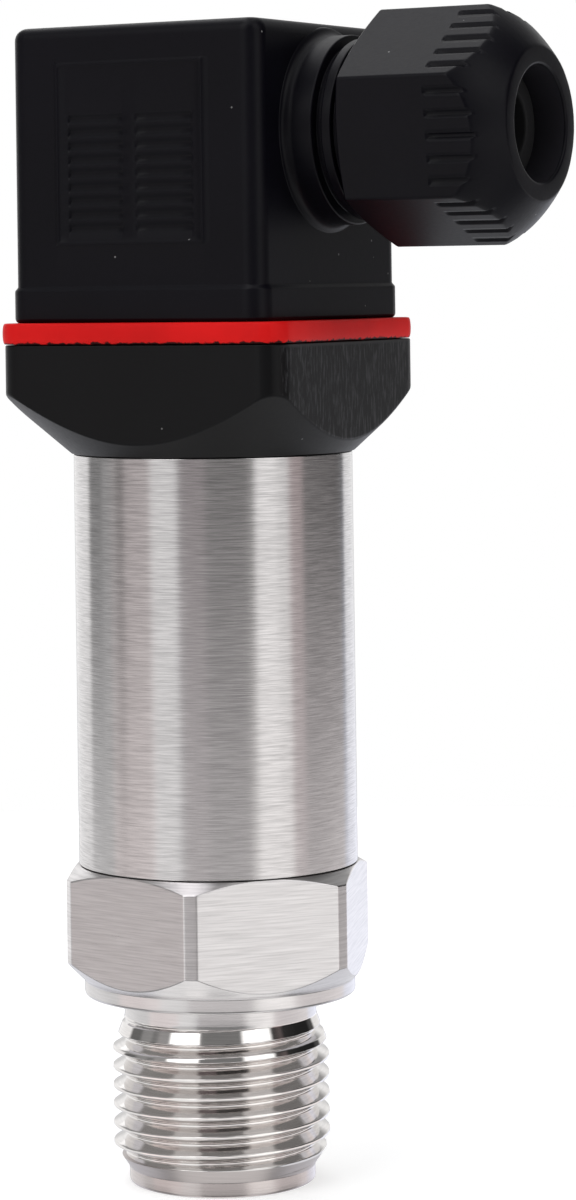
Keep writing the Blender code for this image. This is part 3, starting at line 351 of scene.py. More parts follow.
def broken(points, angles, steps=3, closed=True):
    """Profile of (radius, height, trim) corners for every angle, its corners broken.

    A radius or height may change with the angle. Each corner gives way to a quadratic curve
    that leaves its two sides a trim away from it, or less where a side is short:
    (1-t)^2 A + 2t(1-t) corner + t^2 B. It makes steps + 1 rows, and a sharp corner one."""
    ones = np.ones_like(angles)
    corners = np.stack([np.stack((r * ones, z * ones), axis=-1) for r, z, _ in points], axis=1)
    t = np.linspace(0.0, 1.0, steps + 1)[:, None]
    rows = []
    for i, (_, _, trim) in enumerate(points):
        here = corners[:, i]
        at_end = not closed and i in (0, len(points) - 1)
        if trim <= 0.0 or at_end:
            rows.append(here[:, None])
            continue
        arms = []
        for other in (corners[:, i - 1], corners[:, (i + 1) % len(points)]):
            side = other - here
            length = np.maximum(np.linalg.norm(side, axis=1, keepdims=True), 1e-9)
            arms.append(here + side / length * np.minimum(trim, 0.45 * length))
        a, b, c = arms[0][:, None], here[:, None], arms[1][:, None]
        rows.append((1 - t) ** 2 * a + 2 * t * (1 - t) * b + t ** 2 * c)
    return np.concatenate(rows, axis=1)


def about_z(profile, angles):
    """Carries (radius, height) rows round the Z axis: (r cos a, r sin a, z)."""
    profile = np.broadcast_to(profile, (len(angles),) + profile.shape[-2:])
    r, z = profile[..., 0].T, profile[..., 1].T
    return np.stack((r * np.cos(angles), r * np.sin(angles), z), axis=-1)


def about_gland(profile, angles):
    """Carries (radius, reach) rows round the gland axis, angle 0 being straight up."""
    r, x = profile[..., 0].T, profile[..., 1].T
    return np.stack((x, -r * np.sin(angles), GLAND_LEVEL + r * np.cos(angles)), axis=-1)


def comb(count, extra=(), gap=1e-4):
    """Even angles round a full turn, with extra ones where an edge needs them."""
    even = np.arange(count) / count * math.tau
    wanted = np.mod(np.asarray(extra, float), math.tau)
    if wanted.size:
        away = np.abs((even[:, None] - wanted[None] + math.pi) % math.tau - math.pi).min(axis=1)
        even = even[away > math.tau / count * 0.3]
    every = np.sort(np.concatenate((even, wanted)))
    keep = np.append(True, np.diff(every) > gap)
    return every[keep]


def soft_min(a, b, blend):
    """The lower of two values, with a rounding of that size where they cross."""
    near = np.maximum(blend - np.abs(a - b), 0.0) / blend
    return np.minimum(a, b) - near ** 2 * blend / 4


def hex_radius(angles, half_flats, turned, corner, blend=0.05):
    """Polar radius of a turned hexagon: half the flats over the cosine, cut by a circle."""
    phase = np.mod(angles - corner, math.pi / 3) - math.pi / 6
    return soft_min(half_flats / np.cos(phase), np.full_like(phase, turned), blend)


def square_radius(angles, half, corner):
    """Polar radius of a rounded square, flat by flat and with an arc at each corner."""
    phase = np.abs(np.mod(angles + math.pi / 4, math.pi / 2) - math.pi / 4)
    flat = half / np.cos(phase)
    along = (half - corner) * (np.cos(phase) + np.sin(phase))
    inside = along ** 2 - 2 * (half - corner) ** 2 + corner ** 2
    arc = along + np.sqrt(np.maximum(inside, 0.0))
    return np.where(np.tan(phase) * half <= half - corner, flat, arc)


def square_corners(half, corner, turn, steps):
    """Angles of points spread along the four corner arcs of a rounded square."""
    swing = np.linspace(0.0, math.pi / 2, steps + 1)
    x = half - corner + corner * np.cos(swing)
    y = half - corner + corner * np.sin(swing)
    first = np.arctan2(y, x)
    return (first[None] + np.arange(4)[:, None] * math.pi / 2 + turn).ravel()


def trapezoid(value, low, high, wall):
    """One between two limits and zero outside, with a straight wall of that width at each."""
    rise = (value - low) / wall + 0.5
    fall = (high - value) / wall + 0.5
    return np.clip(np.minimum(rise, fall), 0.0, 1.0)


def edge_marks(limits, wall):
    """Places just before and just after each limit, so that its wall has rows of its own."""
    limits = np.asarray(limits, float)
    return np.sort(np.concatenate((limits - wall / 2, limits + wall / 2)))


def level_row(flat, height):
    """Points of a row that lies level: (x, y) pairs with one height."""
    return np.column_stack((flat, np.full(len(flat), height)))


# Shapes


def thread_heights(angles, pitch):
    """Heights of the thread's rows, which crowd towards each root and crest of the helix:
    z' = z - share * pitch / 4 pi * sin(4 pi (z / pitch - angle / 2 pi)).

    The share fades in above the shaded chamfer and out below the neck."""
    even = np.arange(ROWS_FROM, ROWS_TO, ROW_STEP)[:, None]
    share = CROWDING * np.clip((even - POLISH_LEVEL - ROW_STEP) / CROWDING_FADE, 0.0, 1.0)
    share = share * np.clip((CROWDING_END - even) / CROWDING_FADE, 0.0, 1.0)
    wave = np.sin(2.0 * math.tau * (even / pitch - angles[None] / math.tau))
    return even - share * pitch / (2.0 * math.tau) * wave


def thread_radius(angles, heights, crest, pitch, depth):
    """Radius of the process thread: straight flanks between a narrow root and a broken crest,
    climbing one pitch a turn."""
    slope = 1.0 / math.tan(THREAD_FLANK)
    turn = np.mod(heights / pitch - angles[None] / math.tau, 1.0)
    off = np.abs(turn - 0.5) * pitch
    half_crest = pitch / 2 - depth / slope - ROOT_WIDTH / 2
    flank = crest - (off - half_crest) * slope
    cut = soft_min(flank, np.full_like(flank, crest), CREST_SOFTNESS)
    return -soft_min(-cut, np.full_like(cut, depth - crest), ROOT_SOFTNESS)


def fitting_grid(sizes):
    """Nose, thread, neck, collar, hexagon and spigot as one profile carried round the axis.

    The thread's radius is the lower of its own form and of a straight line through the two
    end cones. Returns the grid and the zone of each row."""
    crest = sizes.thread_diameter / 2 / MM
    neck = sizes.neck_diameter / 2 / MM
    collar = sizes.collar_diameter / 2 / MM
    flats = sizes.hex_flats / 2 / MM
    edge = sizes.edge_break / MM
    strip = math.acos(flats / TURNED_RADIUS)
    hex_corners = HEX_CORNER + np.arange(6) * math.pi / 3
    offsets = math.pi / 6 - strip + np.radians(STRIP_MARKS)
    angles = comb(180, np.concatenate([hex_corners + sign * o for o in offsets for sign in (-1, 1)]))

    pitch = sizes.thread_pitch / MM
    heights = thread_heights(angles, pitch)
    envelope = np.interp(heights, (0.0, *LEAD_IN, *RUN_OUT, HEX_TOP),
                         (NOSE_RADIUS, NOSE_RADIUS, crest, crest, neck, neck))
    form = thread_radius(angles, heights, crest, pitch, sizes.thread_depth / MM)
    thread = np.stack((soft_min(form, envelope, CONE_SOFTNESS), heights), axis=-1)

    outline = hex_radius(angles, flats, TURNED_RADIUS, HEX_CORNER)
    chamfer_slope = math.tan(HEX_CHAMFER)
    rim = np.minimum(outline - RIM_GAP, TURNED_RADIUS - HEX_CHAMFER_HEIGHT / chamfer_slope)
    chamfer = HEX_TOP - (outline - rim) * chamfer_slope
    upper = broken([
        (neck, NECK_START, 0.0),
        (neck, COLLAR_LEVEL, 0.25),
        (collar, COLLAR_LEVEL, 0.3),
        (collar, HEX_LEVEL, 0.08),
        (outline, HEX_LEVEL + outline - collar, edge),
        (outline, chamfer, edge),
        (rim, HEX_TOP, edge),
        (SPIGOT_RADIUS, HEX_TOP, 0.1),
        (SPIGOT_RADIUS, GROOVE_LEVEL, 0.1),
        (GROOVE_FLOOR, GROOVE_LEVEL, 0.1),
        (GROOVE_FLOOR, GROOVE_LEVEL + GROOVE_WIDTH, 0.1),
        (SPIGOT_RADIUS, GROOVE_LEVEL + GROOVE_WIDTH, 0.1),
        (SPIGOT_RADIUS, FITTING_HIGH[2], 0.3),
        (SEAT_RADIUS, FITTING_HIGH[2], 0.2),
        (SEAT_RADIUS, SEAT_LEVEL, 0.1),
        (PORT_RADIUS, SEAT_LEVEL, 0.1),
        (PORT_RADIUS, 0.0, 0.15),
        (NOSE_RADIUS, 0.0, 0.3),
        (NOSE_RADIUS, NOSE_END, 0.0),
    ], angles, closed=False)
    profile = np.concatenate((thread.transpose(1, 0, 2), upper), axis=1)

    above = len(heights)
    zones = np.full(profile.shape[1], SATIN)
    zones[:above - 1] = POLISHED
    # The chamfer below the polish and the nose rows take the darker steels of painted shade
    zones[:int((POLISH_LEVEL - ROWS_FROM) / ROW_STEP)] = SHADED_CHAMFER
    zones[:NOSE_ROWS] = NOSE
    zones[-NOSE_ROWS:] = NOSE
    zones[above + HEXAGON_ROWS[0]:above + HEXAGON_ROWS[1]] = HEXAGON
    return about_z(profile, angles), zones


def tube_grid():
    """Tube with broken edges: four corners carried round the axis."""
    radius = TUBE_HIGH[0]
    low, high = TUBE_LOW[2] - TUBE_REACH, TUBE_HIGH[2] + TUBE_REACH
    points = [(radius, low, 0.1), (radius, high, 0.1), (TUBE_BORE, high, 0.1), (TUBE_BORE, low, 0.1)]
    angles = comb(192)
    return about_z(broken(points, angles), angles)


def square_columns():
    """Angles that follow the corners of the twisted outline and of the straight recess."""
    outer = square_corners(COLUMN_HALF, COLUMN_CORNER, TWIST, 10)
    inner = square_corners(RECESS_HALF, RECESS_CORNER, 0.0, 6)
    return comb(160, np.concatenate((outer, inner)), gap=2e-3)


def adapter_grid():
    """Rounded square above, cone below: the cone meets the square at a height that rises
    with the polar radius of the square, which leaves the scallops."""
    angles = square_columns()
    outline = square_radius(angles - TWIST, ADAPTER_HALF, ADAPTER_CORNER)
    recess = square_radius(angles, RECESS_HALF, RECESS_CORNER)
    meeting = ADAPTER_FOOT_LEVEL + (outline - ADAPTER_FOOT) * ADAPTER_CONE
    top = ADAPTER_HIGH[2] + ADAPTER_REACH
    steps = 4
    grid = about_z(broken([
        (ADAPTER_FOOT, ADAPTER_FOOT_LEVEL, 0.12),
        (outline, meeting, 0.22),
        (outline, top, 0.2),
        (recess, top, 0.1),
        (recess, ADAPTER_FLOOR, 0.1),
        (ADAPTER_BORE, ADAPTER_FLOOR, 0.2),
        (ADAPTER_BORE, ADAPTER_LOW[2], 0.2),
        (SPIGOT_RADIUS, ADAPTER_LOW[2], 0.2),
        (SPIGOT_RADIUS, ADAPTER_GROOVE, 0.1),
        (GROOVE_FLOOR, ADAPTER_GROOVE, 0.1),
        (GROOVE_FLOOR, ADAPTER_GROOVE + GROOVE_WIDTH, 0.1),
        (SPIGOT_RADIUS, ADAPTER_GROOVE + GROOVE_WIDTH, 0.1),
        (SPIGOT_RADIUS, ADAPTER_FOOT_LEVEL, 0.1),
    ], angles, steps), angles)
    square_rows = slice(steps + 1, 3 * (steps + 1))
    grid[square_rows, :, :2] += ADAPTER_SHIFT
    return grid


def gasket_grid(bulge):
    """Flat ring between a twisted rounded square and a straight one. From edge to edge its
    outer side bulges by the cosine of a half turn and is broken by a power of that cosine."""
    angles = square_columns()
    outline = square_radius(angles - TWIST, GASKET_HALF, GASKET_CORNER)
    recess = square_radius(angles, RECESS_HALF, RECESS_CORNER)
    low, high = GASKET_LOW[2] - GASKET_REACH[0], GASKET_HIGH[2] + GASKET_REACH[1]
    swing = np.linspace(-0.5, 0.5, 15) * math.pi
    reach = np.maximum(np.cos(swing), 0.0) ** GASKET_SQUARENESS
    heights = (low + high) / 2 + np.sin(swing) * (high - low) / 2
    outer = outline[:, None] - bulge - GASKET_EDGE * (1.0 - reach)[None] + bulge * np.cos(swing)[None]
    outer = np.stack((outer, np.broadcast_to(heights, outer.shape)), axis=-1)
    inner = broken([(recess, high, 0.0), (recess, low, 0.0)], angles)
    grid = about_z(np.concatenate((outer, inner), axis=1), angles)
    grid[:len(swing), :, :2] += GASKET_SHIFT
    return grid


def panel_relief(x, z, relief, depth):
    """Frame line raised and grooves sunk, as products of trapezoids in x and z."""
    low, high = PANEL_LEVELS
    left, right = PANEL_MIDDLE - PANEL_HALF, PANEL_MIDDLE + PANEL_HALF
    outer = trapezoid(x, left, right, WALL) * trapezoid(z, low, high, WALL)
    inner = trapezoid(x, left + PANEL_LINE, right - PANEL_LINE, WALL) * trapezoid(
        z, low + PANEL_LINE, high - PANEL_LINE, WALL)
    field = relief * (outer - inner)
    for column in (-0.5, 0.5):
        middle = PANEL_MIDDLE + column * RIB_SPACING
        across = trapezoid(x, middle - RIB_LENGTH / 2, middle + RIB_LENGTH / 2, WALL)
        for rib in range(RIB_COUNT):
            bottom = RIB_FIRST + rib * RIB_PITCH
            field = field - depth * across * trapezoid(z, bottom, bottom + RIB_HEIGHT, RIB_WALL)
    return field


def plug_path():
    """Outline of the plug as points and outward normals.

    It runs straight along each side and turns through an arc at each corner; on the panel
    side the points stand where the frame and the grooves have their edges."""
    flat = PLUG_HALF - PLUG_CORNER
    ends = [-flat + 0.15, flat - 0.15]
    marks = [PANEL_MIDDLE + s * PANEL_HALF for s in (-1, 1)]
    marks += [PANEL_MIDDLE + s * (PANEL_HALF - PANEL_LINE) for s in (-1, 1)]
    marks += [PANEL_MIDDLE + c * RIB_SPACING / 2 + s * RIB_LENGTH / 2 for c in (-1, 1) for s in (-1, 1)]
    panel = edge_marks(marks, WALL) - PLUG_CENTRE
    panel = np.sort(np.concatenate((panel, np.linspace(-flat, flat, 15)[1:-1], ends)))
    panel = panel[np.append(True, np.diff(panel) > 0.02)]
    plain = np.concatenate((ends[:1], np.linspace(-flat, flat, 13)[1:-1], ends[1:]))
    swing = np.linspace(0.0, math.pi / 2, 9)
    bend = np.stack((np.sin(swing), -np.cos(swing)), axis=-1)
    arc = np.array((flat, -flat)) + PLUG_CORNER * bend
    points, normals = [], []
    for side in range(4):
        along = panel if side == 0 else plain
        turn = side * math.pi / 2
        spin = np.array([[math.cos(turn), -math.sin(turn)], [math.sin(turn), math.cos(turn)]])
        straight = np.stack((along, np.full_like(along, -PLUG_HALF)), axis=-1)
        down = np.tile((0.0, -1.0), (len(along), 1))
        points.append(np.concatenate((straight, arc)) @ spin.T)
        normals.append(np.concatenate((down, bend)) @ spin.T)
    return np.concatenate(points) + (PLUG_CENTRE, 0.0), np.concatenate(normals)


def plug_walls():
    """Walls of the plug from the skirt to the crown, as (offset from the outline, height)."""
    bottom, top = PLUG_LOW[2], PLUG_HIGH[2]
    skirt = [(0.02, bottom - 0.1), (0.18, bottom + 0.04), (0.28, bottom + 0.2), (0.3, bottom + 0.35),
             (0.3, SKIRT_TOP - 0.42), (0.28, SKIRT_TOP - 0.33), (0.22, SKIRT_TOP - 0.25),
             (0.05, SKIRT_TOP - 0.05), (0.01, SKIRT_TOP + 0.02), (0.0, SKIRT_TOP + 0.12)]
    ribs = [RIB_FIRST + i * RIB_PITCH + s for i in range(RIB_COUNT) for s in (0.0, RIB_HEIGHT)]
    lines = [*PANEL_LEVELS, PANEL_LEVELS[0] + PANEL_LINE, PANEL_LEVELS[1] - PANEL_LINE]
    wall = np.sort(np.concatenate((edge_marks(ribs, RIB_WALL), edge_marks(lines, WALL))))
    swing = np.linspace(0.0, math.pi / 2, 8)
    crown = [(-PLUG_EDGE + PLUG_EDGE * math.cos(s), top - PLUG_EDGE + PLUG_EDGE * math.sin(s))
             for s in swing]
    return skirt + [(0.0, z) for z in wall] + [(0.0, top - PLUG_EDGE - 0.1)] + crown


def plug_grid(relief, depth):
    """Walls, rounded top, screw recess and wiring room: offsets from the outline, by height.

    Across the top the rows pass from the outline to a circle by shares of both."""
    points, normals = plug_path()
    bottom, top = PLUG_LOW[2], PLUG_HIGH[2]
    grid = np.stack([level_row(points + normals * offset, z) for offset, z in plug_walls()])
    on_panel = normals[:, 1] < -0.999
    field = panel_relief(grid[..., 0], grid[..., 2], relief, depth)
    grid[..., 1] -= np.where(on_panel[None], field, 0.0)
    rim = grid[-1, :, :2]
    bearing = np.arctan2(rim[:, 1], rim[:, 0])
    ray = np.stack((np.cos(bearing), np.sin(bearing)), axis=-1)
    ring = HEAD_RECESS[0] * ray * 1.06
    inner = [level_row(rim * (1 - share) + ring * share, top) for share in (0.1, 0.35, 0.65, 0.9)]
    recess, seat = HEAD_RECESS
    turned = [(recess + 0.2, top), (recess + 0.06, top - 0.06), (recess, top - 0.2), (recess, seat + 0.15),
              (recess - 0.1, seat), (SCREW_WAY + 0.1, seat), (SCREW_WAY, seat - 0.15),
              (SCREW_WAY, SCREW_TUBE[1]), SCREW_TUBE, (SCREW_TUBE[0], ROOM_TOP)]
    inner += [level_row(r * ray, z) for r, z in turned]
    room = (points - (PLUG_CENTRE, 0.0)) * (ROOM_HALF / PLUG_HALF) + (PLUG_CENTRE, 0.0)
    inner += [level_row(room, z) for z in (ROOM_TOP, bottom)]
    return np.concatenate((grid, np.stack(inner)))


def spout_grid():
    """Cable spout turned about the gland axis: fillet on the wall, boss, ridge, bore."""
    boss, boss_end = SPOUT_BOSS
    ridge, ridge_start, ridge_end = SPOUT_RIDGE
    swing = np.linspace(0.0, math.pi / 2, 7)
    wall = PLUG_CENTRE + PLUG_HALF
    points = [(0.0, wall - 0.3, 0.0), (boss + 0.9, wall - 0.3, 0.0)]
    points += [(boss + 0.75 - 0.75 * math.sin(s), wall + 1.0 - math.cos(s), 0.0) for s in swing]
    points += [
        (boss, boss_end, 0.18), (SPOUT_RADIUS, boss_end, 0.12), (SPOUT_RADIUS, ridge_start, 0.12),
        (ridge, ridge_start, 0.18), (ridge, ridge_end, 0.18), (SPOUT_RADIUS, ridge_end, 0.12),
        (SPOUT_RADIUS, SPOUT_END, 0.2), (SPOUT_BORE, SPOUT_END, 0.2), (SPOUT_BORE, wall + 0.1, 0.1),
        (0.0, wall + 0.1, 0.0)]
    angles = comb(96)
    return about_gland(broken(points, angles, closed=False), angles)


def nut_grid(grip_depth, bulge):
    """Domed hexagon about the gland axis, its grooves sunk square to each flat.

    The dome is a cone with a parabola on it: cone + 4 bulge s (1 - s). It meets the flats
    and groove floors where its radius falls to theirs. Returns the grid and the zone of
    each row, which changes at the mouth."""
    back, end = NUT_LOW[0], NUT_HIGH[0]
    places = (np.arange(5) - 2) * GRIP_PITCH
    limits = [(p - GRIP_WIDTH / 2, p + GRIP_WIDTH / 2) for p in places]
    marks = np.concatenate([edge_marks(pair, GRIP_WALL) for pair in limits])
    strip = math.acos(NUT_FLATS / NUT_TURNED)
    local = np.concatenate((np.arctan2(marks, NUT_FLATS), np.radians([-29.0, 29.0]),
                            [s * (strip + d) for s in (-1, 1) for d in (-0.012, 0.0, 0.012)]))
    middles = np.arange(6) * math.pi / 3 + math.pi / 6
    angles = comb(168, (middles[:, None] + local[None]).ravel(), gap=1e-3)
    outline = hex_radius(angles, NUT_FLATS, NUT_TURNED, 0.0, 0.06)

    phase = np.mod(angles, math.pi / 3) - math.pi / 6
    across = NUT_FLATS * np.tan(phase)
    sunk = sum(trapezoid(across, low, high, GRIP_WALL) for low, high in limits)
    sunk = sunk * (np.abs(phase) < math.radians(29.5))
    floor = outline - sunk * grip_depth / np.cos(phase)

    share = np.linspace(0.0, 1.0, 80)
    dome = NUT_TURNED + (DOME_FACE - NUT_TURNED) * share + 4 * bulge * share * (1 - share)
    meet_share = np.interp(-floor, -dome, share)
    meet = DOME_START + (end - DOME_START) * meet_share
    chamfer = back + NUT_CHAMFER * (outline - NUT_FOOT) / (NUT_TURNED - NUT_FOOT)

    rows = [(9.0, back), (NUT_FOOT - 0.1, back), (NUT_FOOT, back + 0.06), (outline - 0.06, chamfer),
            (outline, chamfer + 0.14), (outline, GRIP_START[0]), (outline, GRIP_START[1]),
            (floor, GRIP_START[2]), (floor, 29.9), (floor, meet - 0.35), (floor, meet - 0.12)]
    for part in (0.02, 0.12, 0.25, 0.4, 0.55, 0.7, 0.83, 0.93, 0.97):
        s = meet_share + (1.0 - meet_share) * part
        rows.append((np.interp(s, share, dome), DOME_START + (end - DOME_START) * s))
    rows += [(DOME_FACE - 0.12, end), (NUT_MOUTH + 0.3, end), (NUT_MOUTH + 0.1, end - 0.05)]
    # From here the rows line the mouth, whose lighter plastic is painted light on the far wall of the bore.
    mouth = len(rows)
    rows += [(NUT_MOUTH, end - 0.25), (NUT_MOUTH, NUT_SHOULDER), (NUT_BORE, NUT_SHOULDER),
             (NUT_BORE, back + 0.1)]
    profile = broken([(r, x, 0.0) for r, x in rows], angles)
    zones = (np.arange(len(rows)) >= mouth).astype(int)
    return about_gland(profile, angles + NUT_TURN), zones


def seal_grid():
    """Rubber bush of the gland: nose in the mouth of the nut, body in the spout, cable bore."""
    nose, nose_end = SEAL_NOSE
    body, start = SEAL_BODY
    points = [(SEAL_BORE, start, 0.2), (body, start, 0.3), (body, SPOUT_END, 0.2),
              (nose, NUT_SHOULDER, 0.2), (nose, nose_end, 0.35), (SEAL_BORE, nose_end, 0.35)]
    angles = comb(64)
    return about_gland(broken(points, angles, 4), angles)


# Materials


def add(tree, kind, inputs=None, **settings):
    """Adds a node; an input is a value, or the socket that feeds it."""
    made = tree.nodes.new(kind)
    for key, value in settings.items():
        setattr(made, key, value)
    for key, value in (inputs or {}).items():
        socket = made.inputs[key]
        if isinstance(value, bpy.types.NodeSocket):
            tree.links.new(value, socket)
        else:
            socket.default_value = value
    return made


def new_material(name, constants):
    """A material with one Principled shader, its constants set on the shader's own sockets."""
    made = bpy.data.materials.new(name)
    made.use_nodes = True
    shader = made.node_tree.nodes["Principled BSDF"]
    for key, value in constants.items():
        shader.inputs[key].default_value = value
    return made, made.node_tree, shader


def object_place(tree):
    """Object coordinates of the surface."""
    return add(tree, "ShaderNodeTexCoord").outputs["Object"]


def noise(tree, place, scale, detail, **more):
    """Noise of that scale and detail, mostly between 0.3 and 0.7."""
    inputs = {"Vector": place, "Scale": scale, "Detail": detail, **more}
    return add(tree, "ShaderNodeTexNoise", inputs).outputs["Fac"]


def drawn_out(tree, place, scale):
    """Coordinates with their own scale on each axis, for a pattern drawn out along one."""
    return add(tree, "ShaderNodeMapping", {"Vector": place, "Scale": scale}).outputs["Vector"]


def combine(tree, operation, a, b=0.0):
    """One step of arithmetic on one or two values."""
    return add(tree, "ShaderNodeMath", {0: a, 1: b}, operation=operation).outputs[0]


def blend(tree, share, a, b):
    """Colour that passes from a to b as the share rises."""
    return add(tree, "ShaderNodeMix", {0: share, 6: a, 7: b}, data_type="RGBA").outputs[2]


def spread(tree, value, low, high):
    """Maps a value between zero and one to between two others."""
    return add(tree, "ShaderNodeMapRange", {"Value": value, "To Min": low, "To Max": high}).outputs["Result"]


def spread_from(tree, value, low, high):
    """Maps a value between two limits to between zero and one."""
    made = add(tree, "ShaderNodeMapRange", {"Value": value, "From Min": low, "From Max": high})
    return made.outputs["Result"]


def ramp(tree, value, stops):
    """A colour ramp from (position, grey or colour) stops."""
    made = add(tree, "ShaderNodeValToRGB", {"Fac": value})
    elements = made.color_ramp.elements
    while len(elements) < len(stops):
        elements.new(0.5)
    for element, (place, colour) in zip(elements, stops):
        element.position = place
        element.color = (*colour, 1.0) if isinstance(colour, tuple) else (colour, colour, colour, 1.0)
    return made.outputs["Color"]


def two_tones(tree, value, colour, tones):
    """Colour that a noise moves between two multiples of itself."""
    low, high = (tuple(c * tone for c in colour) for tone in tones)
    return ramp(tree, value, ((0.3, low), (0.7, high)))


def raise_surface(tree, shader, height, strength, distance):
    """Feeds a height into the shader's normal."""
    bump = add(tree, "ShaderNodeBump", {"Height": height, "Strength": strength, "Distance": distance})
    tree.links.new(bump.outputs["Normal"], shader.inputs["Normal"])


def steel(name, colour, roughness, vary, along, across, anisotropic, bump, tones=(0.92, 1.04)):
    """Machined metal: noise drawn out into turning marks, fine in height and slow round the
    part, changes its tone and roughness and raises it slightly."""
    made, tree, shader = new_material(name, {
        "Metallic": 1.0, "Anisotropic": anisotropic, "Anisotropic Rotation": 0.25})
    lines = noise(tree, drawn_out(tree, object_place(tree), (along, along, across)), 1.0, 3.0)
    tree.links.new(two_tones(tree, lines, colour, tones), shader.inputs["Base Color"])
    tree.links.new(spread(tree, lines, roughness - vary, roughness + vary), shader.inputs["Roughness"])
    tangent = add(tree, "ShaderNodeTangent", direction_type="RADIAL", axis="Z")
    tree.links.new(tangent.outputs["Tangent"], shader.inputs["Tangent"])
    raise_surface(tree, shader, lines, bump, 0.00002)
    return made


def dusted(tree, place, tone, share):
    """Scatters pale specks of dust over a tone, in that share of the cells of a cell pattern."""
    cells = add(tree, "ShaderNodeTexVoronoi", {"Vector": place, "Scale": 380.0})
    chosen = add(tree, "ShaderNodeSeparateColor", {"Color": cells.outputs["Color"]}).outputs["Red"]
    small = combine(tree, "LESS_THAN", cells.outputs["Distance"], 0.04)
    few = combine(tree, "LESS_THAN", chosen, share)
    return blend(tree, combine(tree, "MULTIPLY", small, few), tone, (0.2, 0.2, 0.2, 1.0))


def moulded(name, colour, roughness, specular, dust=0.0):
    """Moulded plastic or rubber: fine grain in its roughness and surface, slow change of tone."""
    made, tree, shader = new_material(name, {"Specular IOR Level": specular})
    place = object_place(tree)
    fine = noise(tree, place, 2600.0, 4.0)
    tone = two_tones(tree, noise(tree, place, 90.0, 3.0), colour, (0.85, 1.15))
    tree.links.new(dusted(tree, place, tone, dust), shader.inputs["Base Color"])
    tree.links.new(spread(tree, fine, roughness - 0.06, roughness + 0.06), shader.inputs["Roughness"])
    raise_surface(tree, shader, fine, 0.2, 0.00003)
    return made


def overlay(made, share, colour):
    """Lays another colour over a moulded finish by a share."""
    tree = made.node_tree
    base = tree.nodes["Principled BSDF"].inputs["Base Color"]
    plain = base.links[0].from_socket
    tree.links.new(blend(tree, share, plain, (*colour, 1.0)), base)


def height_of(tree, place):
    """Height of the surface in metres."""
    return add(tree, "ShaderNodeSeparateXYZ", {"Vector": place}).outputs["Z"]


def stained(name, colour, roughness, specular):
    """Rubber whose lower edge is soiled by the black burr of the piece under it."""
    made = moulded(name, colour, roughness, specular)
    tree = made.node_tree
    place = object_place(tree)
    ragged = spread(tree, noise(tree, place, 1500.0, 4.0), -0.0004, 0.0004)
    wave = combine(tree, "ADD", ragged, height_of(tree, place))
    low = (GASKET_LOW[2] + 0.02) * MM
    soiled = combine(tree, "SUBTRACT", 1.0, spread_from(tree, wave, low, low + 0.12 * MM))
    overlay(made, soiled, (0.03, 0.004, 0.004))
    return made


def scratched_and_edge_lit(name, colour, roughness, specular):
    """Moulded plastic whose side towards the gland carries fine upright scratches, and whose
    upper edge on that side gets a painted highlight; both are paler."""
    made = moulded(name, colour, roughness, specular, dust=0.3)
    tree = made.node_tree
    place = add(tree, "ShaderNodeTexCoord")
    spot = place.outputs["Object"]
    facing = add(tree, "ShaderNodeSeparateXYZ", {"Vector": place.outputs["Normal"]}).outputs["X"]
    side = spread_from(tree, facing, 0.85, 0.97)
    marks = noise(tree, drawn_out(tree, spot, (3400.0, 3400.0, 520.0)), 1.0, 5.0, Roughness=0.65)
    scratches = combine(tree, "MULTIPLY", side, spread_from(tree, marks, 0.5, 0.62))
    # A pale band along the top edge of the gland side: painted highlight.
    top = ADAPTER_HIGH[2]
    edge = spread_from(tree, height_of(tree, spot), (top - 0.25) * MM, (top + 0.1) * MM)
    painted_edge_highlight = combine(tree, "MULTIPLY", edge, side)
    # The scratches and the painted edge highlight share one pale tone.
    overlay(made, combine(tree, "MAXIMUM", scratches, painted_edge_highlight), tuple(c * 4.0 + 0.03 for c in colour))
    return made


# Finishes: how each is made, its colour or the name of one of the scene's, and its values. Those
# of steel are its roughness and how far that varies, the scales of the turning marks along and
# across them, its anisotropy, the height of the marks and, where they differ, their two tones.
# Those of a moulding are its roughness, its specular level and, where there is any, its dust.
FINISHES = {
    "brushed_tube": (steel, "steel", 0.19, 0.03, 400.0, 10500.0, 0.72, 0.1, (0.74, 1.16)),
    "satin_steel": (steel, "steel", 0.19, 0.03, 300.0, 5000.0, 0.3, 0.15, (0.97, 1.1)),
    # The next two are darker copies of the steel: painted shade on the chamfer and the nose.
    "dull_steel": (steel, "dull_steel", 0.3, 0.05, 300.0, 5000.0, 0.3, 0.15),
    "nose_steel": (steel, "nose_steel", 0.22, 0.03, 300.0, 5000.0, 0.3, 0.15),
    "hexagon_steel": (steel, "steel", 0.3, 0.06, 220.0, 6600.0, 0.6, 0.35, (0.96, 1.36)),
    "polished_thread": (steel, (0.76, 0.735, 0.72), 0.08, 0.01, 300.0, 9000.0, 0.3, 0.004),
    "capsule_steel": (steel, (0.62, 0.61, 0.6), 0.25, 0.05, 200.0, 4000.0, 0.4, 0.1),
    "zinc_plate": (steel, (0.6, 0.6, 0.57), 0.34, 0.06, 900.0, 900.0, 0.0, 0.1),
    "tinned_brass": (steel, (0.7, 0.69, 0.66), 0.36, 0.06, 900.0, 900.0, 0.0, 0.1),
    "turned_brass": (steel, (0.71, 0.5, 0.2), 0.34, 0.06, 300.0, 3000.0, 0.3, 0.1),
    "plug_plastic": (moulded, "plug", 0.38, 0.14, 0.3),
    # Lighter copy of the black plastic for the inside of the nut's mouth: painted light.
    "mouth_plastic": (moulded, (0.022, 0.021, 0.026), 0.6, 0.2),
    "adapter_plastic": (scratched_and_edge_lit, "adapter", 0.4, 0.18),
    "gasket_rubber": (stained, "gasket", 0.5, 0.12),
    "soft_rubber": (moulded, (0.012, 0.012, 0.013), 0.7, 0.25),
    "grey_moulding": (moulded, (0.09, 0.09, 0.095), 0.5, 0.4),
    "board_laminate": (moulded, (0.02, 0.14, 0.05), 0.42, 0.5),
}

